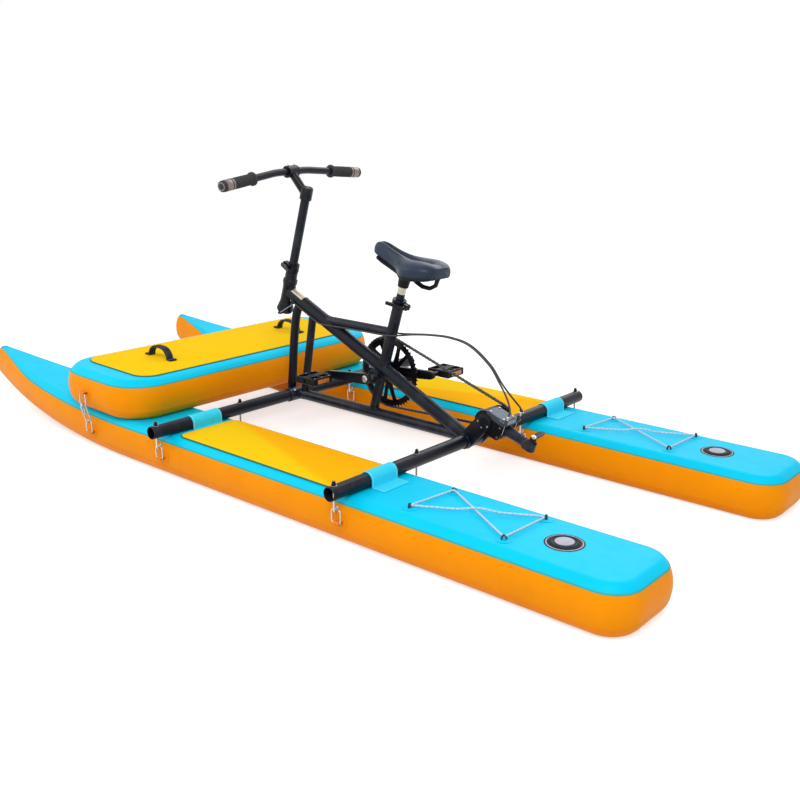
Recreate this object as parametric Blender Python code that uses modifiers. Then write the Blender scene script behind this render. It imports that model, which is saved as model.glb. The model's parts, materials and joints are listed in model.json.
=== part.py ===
"""Water bike: two inflated hulls, a cross board and a pedalled frame.

Metres, +X towards the bow, +Y to port, +Z up. The origin lies on the ground
between the hulls, at half their length. The steering is turned to port and
the drive leg is parked, as on a bike that stands on show.
"""

import math

import bmesh
import bpy
from mathutils import Matrix, Vector

# Running clearance between pieces that touch or turn in each other
GAP = 0.0003

# Inflated hulls
HULL_LENGTH = 2.66
HULL_WIDTH = 0.275
HULL_THICKNESS = 0.125
HULL_SPACING = 0.810
RAIL_INSET = 0.037
STERN_CORNER = 0.085
NOSE_RADIUS = 0.034
NOSE_THICKNESS = 0.105
NOSE_RISE = 0.088
TAPER_LENGTH = 0.960
TAPER_POWER = 2.1
BOW_STEPS = 10
RAIL_ANGLES = (0.0, 0.42, 0.80, 1.19, 1.62, 2.30, math.pi)

# Cross beams
BEAM_LENGTH = 1.160
BEAM_RADIUS = 0.019
BEAM_WALL = 0.002
FRONT_BEAM_X = 0.164
REAR_BEAM_X = -0.550
SLEEVE_WALL = 0.0032
SLEEVE_LENGTH = 0.090
BUTTON_Y = 0.030
BUTTON_RADIUS = 0.0038
BUTTON_TRAVEL = 0.0035

# Deck pads, valves and deck cord
PAD_THICKNESS = 0.004
PAD_WIDTH = 0.216
PAD_END_MARGIN = 0.029
PAD_CORNER = 0.030
VALVE_X = 0.227 - HULL_LENGTH / 2
VALVE_RADIUS = 0.036
CORD_RADIUS = 0.003
CORD_FRONT_X = 0.602 - HULL_LENGTH / 2
CORD_REAR_X = 0.332 - HULL_LENGTH / 2
CORD_HALF_WIDTH = 0.083
CORD_ANCHOR_RADIUS = 0.011

# Straps over the beams
STRAP_THICKNESS = 0.0022
FRONT_STRAP_WIDTH = 0.115
FRONT_STRAP_SHIFT = -0.024
REAR_STRAP_WIDTH = 0.175
REAR_STRAP_SHIFT = -0.047
STRAP_LONG_REACH = 0.062
STRAP_SHORT_REACH = 0.0275

# Tie-down rings and hook bolts
RING_WIRE = 0.002
RING_WIDTH = 0.030
RING_CORNER = 0.008
RING_STAND_OFF = 0.0135
RING_FOOT_Z = 0.062
PATCH_RADIUS = 0.024
PATCH_THICKNESS = 0.0015
TAB_WIDTH = 0.022
TAB_THICKNESS = 0.010
HOOK_WIRE = 0.003
HOOK_BEND = 0.0065
HOOK_EYE_Z = 0.100
HOOK_TIP_RISE = 0.006
STUD_RISE = 0.007
NUT_RADIUS = 0.0058
NUT_HEIGHT = 0.005

# Bow board
BOARD_REAR_X = 0.300
BOARD_DEPTH = 0.422
BOARD_LENGTH = 1.110
BOARD_CORNER = 0.130
BOARD_THICKNESS = 0.125
BOARD_PAD_LENGTH = 0.940
BOARD_PAD_DEPTH = 0.330
BOARD_PAD_CORNER = 0.060
HANDLE_Y = 0.285
HANDLE_SPAN = 0.137
HANDLE_HEIGHT = 0.045
HANDLE_WIDTH = 0.026
HANDLE_THICKNESS = 0.006

# Clips that hold the board down to the hulls
CLIP_X = 0.530
CLIP_WIRE = 0.0025
CLIP_BEND = 0.0075
CLIP_LOW_Z = 0.100
BOARD_RING_Z = 0.0625
BOARD_RING_DROP = 0.040

# Frame tubes, in the middle plane
HEAD_LEAN = math.radians(16.4)
HEAD_FOOT = (0.2156, 0.415)
HEAD_LENGTH = 0.0938
HEAD_TOP_RADIUS = 0.0205
HEAD_FOOT_RADIUS = 0.027
MAIN_TUBE_RADIUS = 0.020
MAIN_TUBE_FRONT = (0.195, 0.480)
MAIN_TUBE_REAR = (-0.525, 0.1467)
TOP_TUBE_RADIUS = 0.0145
TOP_TUBE_Z = 0.406
KEEL_TUBE_RADIUS = 0.017
SEAT_LEAN = math.radians(16.1)
SEAT_TOP = (-0.276, 0.508)
SEAT_TUBE_RADIUS = 0.017
SEAT_STRUT_RADIUS = 0.0145
POST_RADIUS = 0.014
BRACE_RADIUS = 0.0125
BRACE_FOOT_Z = 0.131
BRACE_TOP = (0.084, 0.425)
BRACKET_RADIUS = 0.024
BRACKET_THICKNESS = 0.004
BRACKET_INNER_Y = 0.028

# Steering
STEER_ANGLE = math.radians(4.7)
STEERER_RADIUS = 0.0165
COLUMN_RADIUS = 0.014
COLUMN_WALL = 0.002
COLUMN_FOOT = 0.056
COLUMN_TOP = 0.404
STEERER_TOP = 0.162
COLLAR_TOP = 0.134
CLAMP_HEIGHT = 0.024
CLAMP_WALL = 0.0042
CLAMP_SLOT = 0.003
EAR_REACH = 0.0145
EAR_THICKNESS = 0.008
EAR_HEIGHT_SHARE = 0.72
BOLT_INSET = 0.0055
BOLT_RADIUS = 0.0026
BOLT_HEAD_RADIUS = 0.0050
BOLT_HEAD_HEIGHT = 0.004
LEVER_LENGTH = 0.047
LEVER_SPLAY = 0.023
LEVER_TIP_RADIUS = 0.003
LEVER_HEIGHT = 0.010
STEM_REACH = 0.0747
STEM_RISE = 0.0332
BAR_RADIUS = 0.011
BAR_HALF_LENGTH = 0.308
BAR_SWEEP = 0.020
BAR_DROP = 0.017
GRIP_LENGTH = 0.132
GRIP_RADIUS = 0.0165
GRIP_FLANGE = 0.0205
HORN_REACH = 0.028
BAR_STRAIGHT = 0.070
CAM_RADIUS = 0.006

# Saddle
POST_OUTER = 0.0125
POST_FOOT = -0.112
POST_TOP = 0.066
SADDLE_ORIGIN = (-0.300, 0.590)
SADDLE_PITCH = math.radians(5.0)
SADDLE_REAR = -0.127
SADDLE_NOSE = 0.117
SADDLE_BASE_THICKNESS = 0.008
SADDLE_BASE_SHARE = 0.86
SADDLE_BASE_SAG = 0.0004
SADDLE_BASE_ENDS = (0.03, 0.94)
SADDLE_HUB_RADIUS = 0.0165
SADDLE_HUB_FOOT = 0.042
SADDLE_HUB_SUNK = 0.0015
SADDLE_CHANNEL = 0.012
SADDLE_LOOP_RADIUS = 0.0065
# Share of the length from the rear, half width, lift of the underside, height of the top
SADDLE_STATIONS = (
    (0.00, 0.042, 0.013, 0.036),
    (0.07, 0.064, 0.009, 0.047),
    (0.22, 0.076, 0.004, 0.049),
    (0.36, 0.076, 0.000, 0.046),
    (0.46, 0.060, 0.001, 0.047),
    (0.56, 0.036, 0.005, 0.050),
    (0.70, 0.026, 0.012, 0.058),
    (0.86, 0.023, 0.0235, 0.072),
    (0.96, 0.021, 0.034, 0.075),
    (1.00, 0.013, 0.043, 0.062),
)
SEAT_TRAVEL_DOWN = 0.030

# Pedal drive
CRANK_CENTRE = (-0.198, 0.268)
CRANK_ANGLE = math.radians(4.8)
CRANK_LENGTH = 0.150
CRANK_Y = 0.062
CRANK_THICKNESS = 0.012
AXLE_RADIUS = 0.0085
SHELL_RADIUS = 0.021
SHELL_LENGTH = 0.068
CHAIN_Y = -0.0475
CHAIN_WIDTH = 0.006
CHAIN_DEPTH = 0.008
RING_PLATE = 0.004
# Rims that stand for 54 and 18 teeth under a chain of 12.7 mm pitch
CHAINRING_RADIUS = 0.1045
CHAINRING_SPOKES = 5
RING_RIM = 0.021
SPROCKET_RADIUS = 0.0315
PEDAL_Y = 0.1325
PEDAL_WIDTH = 0.078
PEDAL_LENGTH = 0.080
PEDAL_HEIGHT = 0.022
SPINDLE_RADIUS = 0.005
CHAIN_PLAY = 0.0008

# Tilting drive
DRIVE_CENTRE = (-0.610, 0.212)
DRIVE_PITCH = math.radians(19.3)
CASE_RADIUS = 0.033
CASE_REACH = 0.060
CASE_UNDERSIDE = 0.030
CASE_TOPSIDE = 0.016
COVER_HEIGHT = 0.019
TRUNNION_RADIUS = 0.013
TRUNNION_LENGTH = 0.0355
INPUT_RADIUS = 0.005
JOURNAL_END = 0.0445
JOURNAL_RADIUS = 0.0110
LEG_RADIUS = 0.0138
LEG_FLANGE = 0.0165
LEG_RIBS = 3
RIB_START = 0.058
RIB_PITCH = 0.0085
SHAFT_RADIUS = 0.0035
BEVEL_NEAR = 0.0050
BEVEL_FAR = 0.0085
BEVEL_PLAY = 0.0005
CHAMBER_RADIUS = 0.0122
CHAMBER_DEPTH = 0.0098
HUB_DISTANCE = 0.145
HUB_WALL = 0.0023
PROPELLER_RADIUS = 0.060
PROPELLER_Z = 0.0218
PROPELLER_HUB_RADIUS = 0.0095
PROPELLER_ANGLE = math.radians(98.0)
BLADE_PITCH = math.radians(-24.0)
BARREL_X = -0.066
BARREL_Y = 0.030
BARREL_RADIUS = 0.0045
BARREL_TOP = 0.045
ANCHOR_Z = 0.028
ANCHOR_THICKNESS = 0.005
HORN_DROP = 0.008

# Steering cables
CABLE_RADIUS = 0.003
WIRE_RADIUS = 0.0009
CABLE_STEP = 0.032
CABLE_ROUTE = (
    (0.149, 0.0205, 0.4467),
    (0.100, 0.0207, 0.4240),
    (0.045, 0.0226, 0.4000),
    (0.012, 0.0246, 0.3970),
    (-0.022, 0.0224, 0.3965),
    (-0.080, 0.0170, 0.3970),
    (-0.150, 0.0170, 0.3980),
    (-0.205, 0.0200, 0.3990),
    (-0.250, 0.0212, 0.4010),
    (-0.285, 0.0165, 0.4050),
    (-0.330, 0.0060, 0.4125),
    (-0.391, 0.0036, 0.4200),
    (-0.463, 0.0036, 0.4230),
    (-0.534, 0.0036, 0.4110),
    (-0.603, 0.0036, 0.3670),
    (-0.638, 0.0036, 0.3250),
    (-0.662, 0.0065, 0.2930),
    (-0.680, 0.0190, 0.2660),
)

for leftover in list(bpy.data.objects):
    bpy.data.objects.remove(leftover, do_unlink=True)


def new_collection(name):
    collection = bpy.data.collections.new(name)
    bpy.context.scene.collection.children.link(collection)
    return collection


MODEL = new_collection("water_bike")
CUTTERS = new_collection("water_bike_cutters")


def new_material(name, colour, roughness, metallic=0.0):
    material = bpy.data.materials.new(name)
    material.use_nodes = True
    shader = material.node_tree.nodes["Principled BSDF"]
    shader.inputs["Base Color"].default_value = (*colour, 1.0)
    shader.inputs["Roughness"].default_value = roughness
    shader.inputs["Metallic"].default_value = metallic
    material.diffuse_color = (*colour, 1.0)
    return material


COLOURS = {
    "orange": ((0.93, 0.29, 0.0), 0.45, 0.0),
    "cyan": ((0.0, 0.70, 0.94), 0.45, 0.0),
    "yellow": ((1.0, 0.56, 0.0), 0.75, 0.0),
    "black_paint": ((0.012, 0.013, 0.017), 0.35, 0.0),
    "black_plastic": ((0.015, 0.015, 0.016), 0.55, 0.0),
    "steel": ((0.62, 0.62, 0.63), 0.25, 1.0),
    "grey_metal": ((0.18, 0.20, 0.23), 0.40, 0.8),
    "cord": ((0.70, 0.84, 0.95), 0.60, 0.0),
    "webbing": ((0.015, 0.015, 0.016), 0.80, 0.0),
}


# Basic shapes

def add_object(name, data, target=None):
    piece = bpy.data.objects.new(name, data)
    (target or MODEL).objects.link(piece)
    return piece


def mesh_from(bm, name="shape"):
    mesh = bpy.data.meshes.new(name)
    bm.to_mesh(mesh)
    bm.free()
    mesh.shade_smooth()
    mesh.set_sharp_from_angle(angle=math.radians(35))
    return mesh


def bar(start, end, radius, sides=16, end_radius=None):
    """A round bar, or a cone, between two points."""
    start = Vector(start)
    along = Vector(end) - start
    bm = bmesh.new()
    tip = radius if end_radius is None else end_radius
    bmesh.ops.create_cone(bm, cap_ends=True, segments=sides, radius1=radius,
                          radius2=tip, depth=along.length)
    turn = along.to_track_quat("Z", "Y").to_matrix().to_4x4()
    middle = Matrix.Translation(start + along / 2)
    bmesh.ops.transform(bm, matrix=middle @ turn, verts=bm.verts)
    return add_object("bar", mesh_from(bm))


def block(size, centre, turn=None, bevel=0.0):
    """A box of the given size, turned about its centre, with bevelled edges."""
    bm = bmesh.new()
    bmesh.ops.create_cube(bm, size=1.0)
    bmesh.ops.scale(bm, vec=size, verts=bm.verts)
    if bevel:
        bmesh.ops.bevel(bm, geom=bm.edges[:], offset=bevel, segments=2,
                        profile=0.5, affect="EDGES")
    placing = Matrix.Translation(Vector(centre)) @ (turn or Matrix())
    bmesh.ops.transform(bm, matrix=placing, verts=bm.verts)
    return add_object("block", mesh_from(bm))


def turned(profile, placing=None, sides=24, closed=False):
    """A turned piece about local Z: (radius, height) pairs, top to bottom."""
    mesh = bpy.data.meshes.new("profile")
    points = [(radius, 0.0, height) for radius, height in profile]
    edges = [(i, i + 1) for i in range(len(points) - 1)]
    if closed:
        edges.append((len(points) - 1, 0))
    mesh.from_pydata(points, edges, [])
    piece = add_object("turned", mesh)
    screw = piece.modifiers.new("turn", "SCREW")
    screw.axis = "Z"
    screw.angle = 2 * math.pi
    screw.steps = sides
    screw.render_steps = sides
    screw.use_merge_vertices = True
    screw.merge_threshold = 0.00001
    piece.matrix_world = placing or Matrix()
    return bake(piece)


def sleeve(start, end, outer, inner, sides=24):
    """A round tube with a bore, between two points."""
    start = Vector(start)
    along = Vector(end) - start
    turn = along.to_track_quat("Z", "Y").to_matrix().to_4x4()
    length = along.length
    profile = [(outer, length), (outer, 0.0), (inner, 0.0), (inner, length)]
    return turned(profile, Matrix.Translation(start) @ turn, sides, closed=True)


def pipe(points, radius, resolution=2, cyclic=False, radii=None):
    """A round wire or tube along a chain of points."""
    curve = bpy.data.curves.new("pipe", "CURVE")
    curve.dimensions = "3D"
    curve.bevel_depth = radius
    curve.bevel_resolution = resolution
    curve.use_fill_caps = True
    spline = curve.splines.new("POLY")
    spline.points.add(len(points) - 1)
    for index, point in enumerate(points):
        spline.points[index].co = (*point, 1.0)
        spline.points[index].radius = radii[index] if radii else 1.0
    spline.use_cyclic_u = cyclic
    return bake(add_object("pipe", curve))


def plate(outlines, thickness, placing=None):
    """A flat plate in local XY from one outline, or an outline and its holes."""
    curve = bpy.data.curves.new("plate", "CURVE")
    curve.dimensions = "2D"
    curve.fill_mode = "BOTH"
    curve.extrude = thickness / 2
    for outline in outlines:
        spline = curve.splines.new("POLY")
        spline.points.add(len(outline) - 1)
        for index, (u, v) in enumerate(outline):
            spline.points[index].co = (u, v, 0.0, 1.0)
        spline.use_cyclic_u = True
    piece = add_object("plate", curve)
    piece.matrix_world = placing or Matrix()
    return bake(piece)


def lofted(rings):
    """A closed skin through rings that run from one side of it to the other.

    Each ring starts and ends its first half on the plane of symmetry, so
    that the two end caps are strips between its mirrored points.
    """
    bm = bmesh.new()
    layers = [[bm.verts.new(point) for point in ring] for ring in rings]
    count = len(layers[0])
    for upper, lower in zip(layers, layers[1:]):
        for i in range(count):
            j = (i + 1) % count
            bm.faces.new((upper[i], lower[i], lower[j], upper[j]))
    half = count // 2
    for layer in (layers[0], layers[-1]):
        bm.faces.new((layer[0], layer[1], layer[-1]))
        for i in range(1, half - 1):
            bm.faces.new((layer[i], layer[i + 1], layer[-i - 1], layer[-i]))
        bm.faces.new((layer[half - 1], layer[half], layer[half + 1]))
    bmesh.ops.recalc_face_normals(bm, faces=bm.faces)
    return add_object("loft", mesh_from(bm))


# Points along lines and arcs

def arc(centre, radius, start, end, steps):
    """Points on an arc in a plane, from one angle in degrees to another."""
    points = []
    for step in range(steps + 1):
        angle = math.radians(start + (end - start) * step / steps)
        points.append((centre[0] + radius * math.cos(angle),
                       centre[1] + radius * math.sin(angle)))
    return points


def rounded_rectangle(length, width, corner, steps=5):
    u, v = length / 2 - corner, width / 2 - corner
    return (arc((u, v), corner, 0, 90, steps) + arc((-u, v), corner, 90, 180, steps)
            + arc((-u, -v), corner, 180, 270, steps) + arc((u, -v), corner, 270, 360, steps))


def two_circle_outline(first, first_radius, second, second_radius, steps=12):
    """The outline of a band stretched around two circles."""
    first, second = Vector(first), Vector(second)
    across = second - first
    facing = math.degrees(math.atan2(across.y, across.x))
    spread = math.degrees(math.acos((first_radius - second_radius) / across.length))
    return (arc(second, second_radius, facing - spread, facing + spread, steps)
            + arc(first, first_radius, facing + spread, facing + 360 - spread, steps))


def smooth_path(points, step):
    """Points about one step apart on a smooth curve through the given ones."""
    knots = [Vector(point) for point in points]
    knots = [2 * knots[0] - knots[1]] + knots + [2 * knots[-1] - knots[-2]]
    path = []
    for before, start, end, after in zip(knots, knots[1:], knots[2:], knots[3:]):
        pieces = max(1, round((end - start).length / step))
        for piece in range(pieces):
            t = piece / pieces
            path.append(0.5 * (2 * start + (end - before) * t
                               + (2 * before - 5 * start + 4 * end - after) * t ** 2
                               + (3 * start - before - 3 * end + after) * t ** 3))
    path.append(knots[-2])
    return path


# Joining, cutting and placing

def bake(piece):
    """Turn a curve, or a piece with modifiers, into a plain welded mesh."""
    view_layer = bpy.context.view_layer
    view_layer.update()
    depsgraph = bpy.context.evaluated_depsgraph_get()
    mesh = bpy.data.meshes.new_from_object(piece.evaluated_get(depsgraph))
    mesh.transform(piece.matrix_world)
    bm = bmesh.new()
    bm.from_mesh(mesh)
    bmesh.ops.remove_doubles(bm, verts=bm.verts, dist=0.000001)
    bm.to_mesh(mesh)
    bm.free()
    mesh.shade_smooth()
    mesh.set_sharp_from_angle(angle=math.radians(35))
    baked = add_object("baked", mesh)
    bpy.data.objects.remove(piece, do_unlink=True)
    return baked


def fuse(pieces):
    """Weld several overlapping shapes into one body."""
    base = pieces[0]
    for other in pieces[1:]:
        union = base.modifiers.new("union", "BOOLEAN")
        union.operation = "UNION"
        union.object = other
    joined = bake(base)
    for other in pieces[1:]:
        bpy.data.objects.remove(other, do_unlink=True)
    return joined


def carve(piece, cutters):
    """Cut away each cutter and keep the cutters as hidden guides."""
    for cutter in cutters:
        for collection in list(cutter.users_collection):
            collection.objects.unlink(cutter)
        CUTTERS.objects.link(cutter)
        cutter.name = "cutter"
        cutter.hide_render = True
        cutter.display_type = "WIRE"
        cut = piece.modifiers.new("cut", "BOOLEAN")
        cut.operation = "DIFFERENCE"
        cut.object = cutter
    bpy.context.view_layer.update()
    depsgraph = bpy.context.evaluated_depsgraph_get()
    mesh = bpy.data.meshes.new_from_object(piece.evaluated_get(depsgraph))
    mesh.shade_smooth()
    mesh.set_sharp_from_angle(angle=math.radians(35))
    piece.modifiers.clear()
    piece.data = mesh
    return piece


def soften(piece, width, segments):
    """Round the sharp edges of a piece."""
    bevel = piece.modifiers.new("soft edges", "BEVEL")
    bevel.width = width
    bevel.segments = segments
    bevel.limit_method = "ANGLE"
    bevel.angle_limit = math.radians(50)
    return piece


def frame_at(name, location, rotation=None, parent=None):
    """An empty that carries pieces, for instance on the axis of a joint."""
    empty = add_object(name, None)
    empty.empty_display_size = 0.05
    empty.parent = parent
    empty.matrix_local = Matrix.Translation(Vector(location)) @ (rotation or Matrix())
    bpy.context.view_layer.update()
    return empty


def place(piece, name, colour, frame=None, origin=(0.0, 0.0, 0.0)):
    """Name a piece, colour it, move its origin and hang it on its frame."""
    origin = Vector(origin)
    piece.data.transform(Matrix.Translation(-origin))
    piece.name = name
    piece.data.name = name
    base, roughness, metallic = COLOURS[colour]
    piece.data.materials.clear()
    piece.data.materials.append(new_material(name + "_finish", base, roughness, metallic))
    piece.parent = frame
    piece.location = origin
    return piece


def turn_about(axis, angle):
    return Matrix.Rotation(angle, 4, axis)


def hide_with(cutters, frame):
    """Leave the cutters of a piece where the piece hangs."""
    for cutter in cutters:
        cutter.matrix_world = frame.matrix_world


# A flat plate drawn in XY stands in the XZ plane after this turn
UPRIGHT = turn_about("X", math.radians(90))


# Hulls

def taper_share(x):
    """How far a place lies along the rising bow, from 0 to 1."""
    start = HULL_LENGTH / 2 - TAPER_LENGTH
    return min(1.0, max(0.0, (x - start) / TAPER_LENGTH))


def rise_at(x):
    return NOSE_RISE * taper_share(x) ** 2


def thickness_at(x):
    return HULL_THICKNESS + (NOSE_THICKNESS - HULL_THICKNESS) * taper_share(x) ** 2


def deck_height(x):
    return rise_at(x) + thickness_at(x)


def bow_half_width(x):
    """Half the hull's width, from the start of its taper to the round nose."""
    start = HULL_LENGTH / 2 - TAPER_LENGTH
    share = max(0.0, (x - start) / (TAPER_LENGTH - NOSE_RADIUS))
    return NOSE_RADIUS + (HULL_WIDTH / 2 - NOSE_RADIUS) * (1 - share ** TAPER_POWER)


def hull_half_outline():
    """Half of the hull's plan, from the middle of the stern to the nose."""
    stern = -HULL_LENGTH / 2
    half = HULL_WIDTH / 2
    points = [(stern, 0.0)]
    corner = (stern + STERN_CORNER, half - STERN_CORNER)
    points += arc(corner, STERN_CORNER, 180, 90, 5)
    start = HULL_LENGTH / 2 - TAPER_LENGTH
    nose = HULL_LENGTH / 2 - NOSE_RADIUS
    for step in range(BOW_STEPS + 1):
        x = start + (nose - start) * step / BOW_STEPS
        points.append((x, bow_half_width(x)))
    points += arc((nose, 0.0), NOSE_RADIUS, 60, 0, 3)
    return points


def board_half_outline():
    """Half of the board's plan about its own centre, from rear to front."""
    u = BOARD_DEPTH / 2 - BOARD_CORNER
    v = BOARD_LENGTH / 2 - BOARD_CORNER
    points = [(-BOARD_DEPTH / 2, 0.0)]
    points += arc((-u, v), BOARD_CORNER, 180, 90, 5)
    points += arc((u, v), BOARD_CORNER, 90, 0, 5)
    points += [(BOARD_DEPTH / 2, 0.0)]
    return points


def inflated(half_outline, rise, thickness, inset):
    """An inflated board: its plan drawn in at the rails, top to bottom."""
    full = half_outline + [(x, -y) for x, y in reversed(half_outline[1:-1])]
    count = len(full)
    normals = []
    for i in range(count):
        before, after = Vector(full[i - 1]), Vector(full[(i + 1) % count])
        along = (after - before).normalized()
        normals.append(Vector((-along.y, along.x)))
    rings = []
    for angle in RAIL_ANGLES:
        ring = []
        for (x, y), normal in zip(full, normals):
            drawn_in = inset(x) * (1 - math.sin(angle))
            tall = thickness(x)
            height = rise(x) + tall / 2 * (1 + math.cos(angle))
            ring.append((x - normal.x * drawn_in, y - normal.y * drawn_in, height))
        rings.append(ring)
    return lofted(rings)


def hook_reach():
    """Distance of a hook bolt from its hull's centre line."""
    return HULL_WIDTH / 2 + RING_STAND_OFF + HOOK_BEND


def tie_ring(x, wall, side, foot_z, bar_z):
    """A wire ring on a webbing tab and a round patch, with its free bar at bar_z."""
    sunk = PATCH_RADIUS
    patch = bar((x, side * (wall - sunk), foot_z), (x, side * (wall + PATCH_THICKNESS), foot_z),
                PATCH_RADIUS, 12)
    tab_length = RING_STAND_OFF + 4 * RING_WIRE
    tab = block((TAB_WIDTH, tab_length, TAB_THICKNESS),
                (x, side * (wall + RING_STAND_OFF + 2 * RING_WIRE - tab_length / 2), foot_z))
    middle = (foot_z + bar_z) / 2
    flat = rounded_rectangle(RING_WIDTH, abs(bar_z - foot_z), RING_CORNER, 1)
    loop = [(x + u, side * (wall + RING_STAND_OFF), middle + v) for u, v in flat]
    return [patch, tab, pipe(loop, RING_WIRE, 1, cyclic=True)]


def hull(name, y):
    """One inflated hull with its four hook rings and its clip ring."""
    body = inflated(hull_half_outline(), rise_at, thickness_at,
                    lambda x: RAIL_INSET * (1 - 0.4 * taper_share(x) ** 2))
    pieces = [body]
    bar_z = HOOK_EYE_Z - HOOK_BEND + HOOK_WIRE + RING_WIRE + GAP
    for x in (FRONT_BEAM_X, REAR_BEAM_X):
        for side in (-1, 1):
            pieces += tie_ring(x, HULL_WIDTH / 2, side, RING_FOOT_Z, bar_z)
    pieces += tie_ring(CLIP_X, bow_half_width(CLIP_X), math.copysign(1, y), RING_FOOT_Z, CLIP_LOW_Z)
    return place(fuse(pieces), name, "orange", frame_at(name + "_frame", (0.0, y, 0.0)))


def deck_fittings(name, y):
    """The foot pad, the inflation valve and the deck cord of one hull."""
    deck = HULL_THICKNESS + GAP
    front = FRONT_BEAM_X - PAD_END_MARGIN
    rear = REAR_BEAM_X + PAD_END_MARGIN
    outline = rounded_rectangle(front - rear, PAD_WIDTH, PAD_CORNER)
    pad_place = Matrix.Translation((0.0, 0.0, PAD_THICKNESS / 2))
    frame = frame_at(name + "_pad_frame", ((front + rear) / 2, y, deck))
    place(plate([outline], PAD_THICKNESS, pad_place), name + "_deck_pad", "yellow", frame)
    valve_frame = frame_at(name + "_valve_frame", (VALVE_X, y, deck))
    profile = [(0.0, 0.0045), (0.012, 0.0045), (0.014, 0.0030), (0.022, 0.0030),
               (0.024, 0.0045), (0.031, 0.0045), (VALVE_RADIUS, 0.0022), (VALVE_RADIUS, 0.0),
               (0.0, 0.0)]
    place(turned(profile, sides=16), name + "_valve", "black_plastic", valve_frame)
    deck_cord(name, y, deck)


def deck_cord(name, y, deck):
    """A cord laced crosswise between four anchors, welded where it crosses."""
    height = CORD_RADIUS + 0.006
    corners = [(CORD_FRONT_X + 0.008, CORD_HALF_WIDTH - 0.010),
               (CORD_FRONT_X - 0.010, -CORD_HALF_WIDTH + 0.006),
               (CORD_REAR_X + 0.004, CORD_HALF_WIDTH - 0.007),
               (CORD_REAR_X - 0.004, -CORD_HALF_WIDTH - 0.001)]
    loop = [(x, v, height) for x, v in corners]
    pieces = []
    for index, (start, end) in enumerate(zip(loop, loop[1:] + loop[:1])):
        past = (Vector(end) - Vector(start)).normalized() * CORD_RADIUS
        over = Vector((0.0, 0.0, 0.0004 * index))
        pieces.append(pipe([Vector(start) - past + over, Vector(end) + past + over], CORD_RADIUS, 1))
    for x, v, z in loop:
        profile = [(0.0, z + CORD_RADIUS + 0.001), (0.0065, z + CORD_RADIUS + 0.0005),
                   (CORD_ANCHOR_RADIUS, 0.0020), (CORD_ANCHOR_RADIUS, 0.0), (0.0, 0.0)]
        pieces.append(turned(profile, Matrix.Translation((x, v, 0.0)), 8))
    frame = frame_at(name + "_cord_frame", (0.0, y, deck))
    place(fuse(pieces), name + "_deck_cord", "cord", frame)


def strap(name, beam_x, y, width, outer_reach, inner_reach):
    """Webbing that lies on the deck on both sides of a beam and over it."""
    deck = HULL_THICKNESS + GAP
    axis_z = beam_axis_z()
    low = deck + STRAP_THICKNESS
    wrap = BEAM_RADIUS + GAP
    foot = wrap + STRAP_THICKNESS
    bend = foot + STRAP_THICKNESS
    under = [(-outer_reach, deck), (-foot, deck)] + arc((0.0, axis_z), wrap, 180, 0, 10)
    under += [(foot, deck), (inner_reach, deck)]
    over = [(inner_reach, low), (bend, low)]
    over += arc((0.0, axis_z), wrap + STRAP_THICKNESS, 0, 180, 10)
    over += [(-bend, low), (-outer_reach, low)]
    frame = frame_at(name + "_frame", (beam_x, y, 0.0))
    place(plate([under + over], width, UPRIGHT), name, "cyan", frame)


def beam_axis_z():
    return HULL_THICKNESS + BEAM_RADIUS + GAP


def beam(name, x):
    """A cross beam with drilled holes for its hook bolts."""
    z = beam_axis_z()
    half = BEAM_LENGTH / 2
    tube = sleeve((0.0, -half, 0.0), (0.0, half, 0.0), BEAM_RADIUS, BEAM_RADIUS - BEAM_WALL, 16)
    past = BEAM_RADIUS * 1.5
    holes = []
    for y in hook_places():
        holes.append(bar((0.0, y, -past), (0.0, y, past), HOOK_WIRE + GAP, 8))
    if x == FRONT_BEAM_X:
        holes.append(button_hole(Vector((x, 0.0, z))))
    place(carve(tube, holes), name, "black_paint", frame_at(name + "_frame", (x, 0.0, z)))
    for hole in holes:
        hole.location = (x, 0.0, z)


def hook_places():
    reach = hook_reach()
    return [side * HULL_SPACING / 2 + end * reach for side in (1, -1) for end in (1, -1)]


def hook_bolt(name, x, y):
    """A stud through the beam that ends in a hook around a tie-down ring."""
    inward = 1 if abs(y) < HULL_SPACING / 2 else -1
    inward *= 1 if y > 0 else -1
    top = beam_axis_z() + BEAM_RADIUS + NUT_HEIGHT + STUD_RISE
    path = [(0.0, 0.0, top), (0.0, 0.0, HOOK_EYE_Z)]
    for v, w in arc((0.0, 0.0), HOOK_BEND, 0, -180, 4)[1:]:
        path.append((0.0, inward * (HOOK_BEND - v), HOOK_EYE_Z + w))
    path.append((0.0, inward * 2 * HOOK_BEND, HOOK_EYE_Z + HOOK_TIP_RISE))
    nut_foot = beam_axis_z() + BEAM_RADIUS + GAP
    nut = bar((0.0, 0.0, nut_foot), (0.0, 0.0, nut_foot + NUT_HEIGHT), NUT_RADIUS, 6)
    place(fuse([pipe(path, HOOK_WIRE, 1), nut]), name, "steel",
          frame_at(name + "_frame", (x, y, 0.0)))


def hulls_and_beams():
    for name, side in (("port", 1), ("starboard", -1)):
        y = side * HULL_SPACING / 2
        hull(name + "_hull", y)
        deck_fittings(name, y)
        strap(name + "_front_strap", FRONT_BEAM_X, y + FRONT_STRAP_SHIFT, FRONT_STRAP_WIDTH,
              STRAP_SHORT_REACH, STRAP_LONG_REACH * 0.75)
        strap(name + "_rear_strap", REAR_BEAM_X, y + REAR_STRAP_SHIFT, REAR_STRAP_WIDTH,
              STRAP_LONG_REACH, STRAP_SHORT_REACH)
    places = hook_places()
    labels = ("port_outer", "port_inner", "starboard_outer", "starboard_inner")
    order = (places[0], places[1], places[3], places[2])
    for where, x in (("front", FRONT_BEAM_X), ("rear", REAR_BEAM_X)):
        beam(where + "_beam", x)
        for label, y in zip(labels, order):
            hook_bolt(label + "_" + where + "_hook", x, y)


# Bow board

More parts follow.
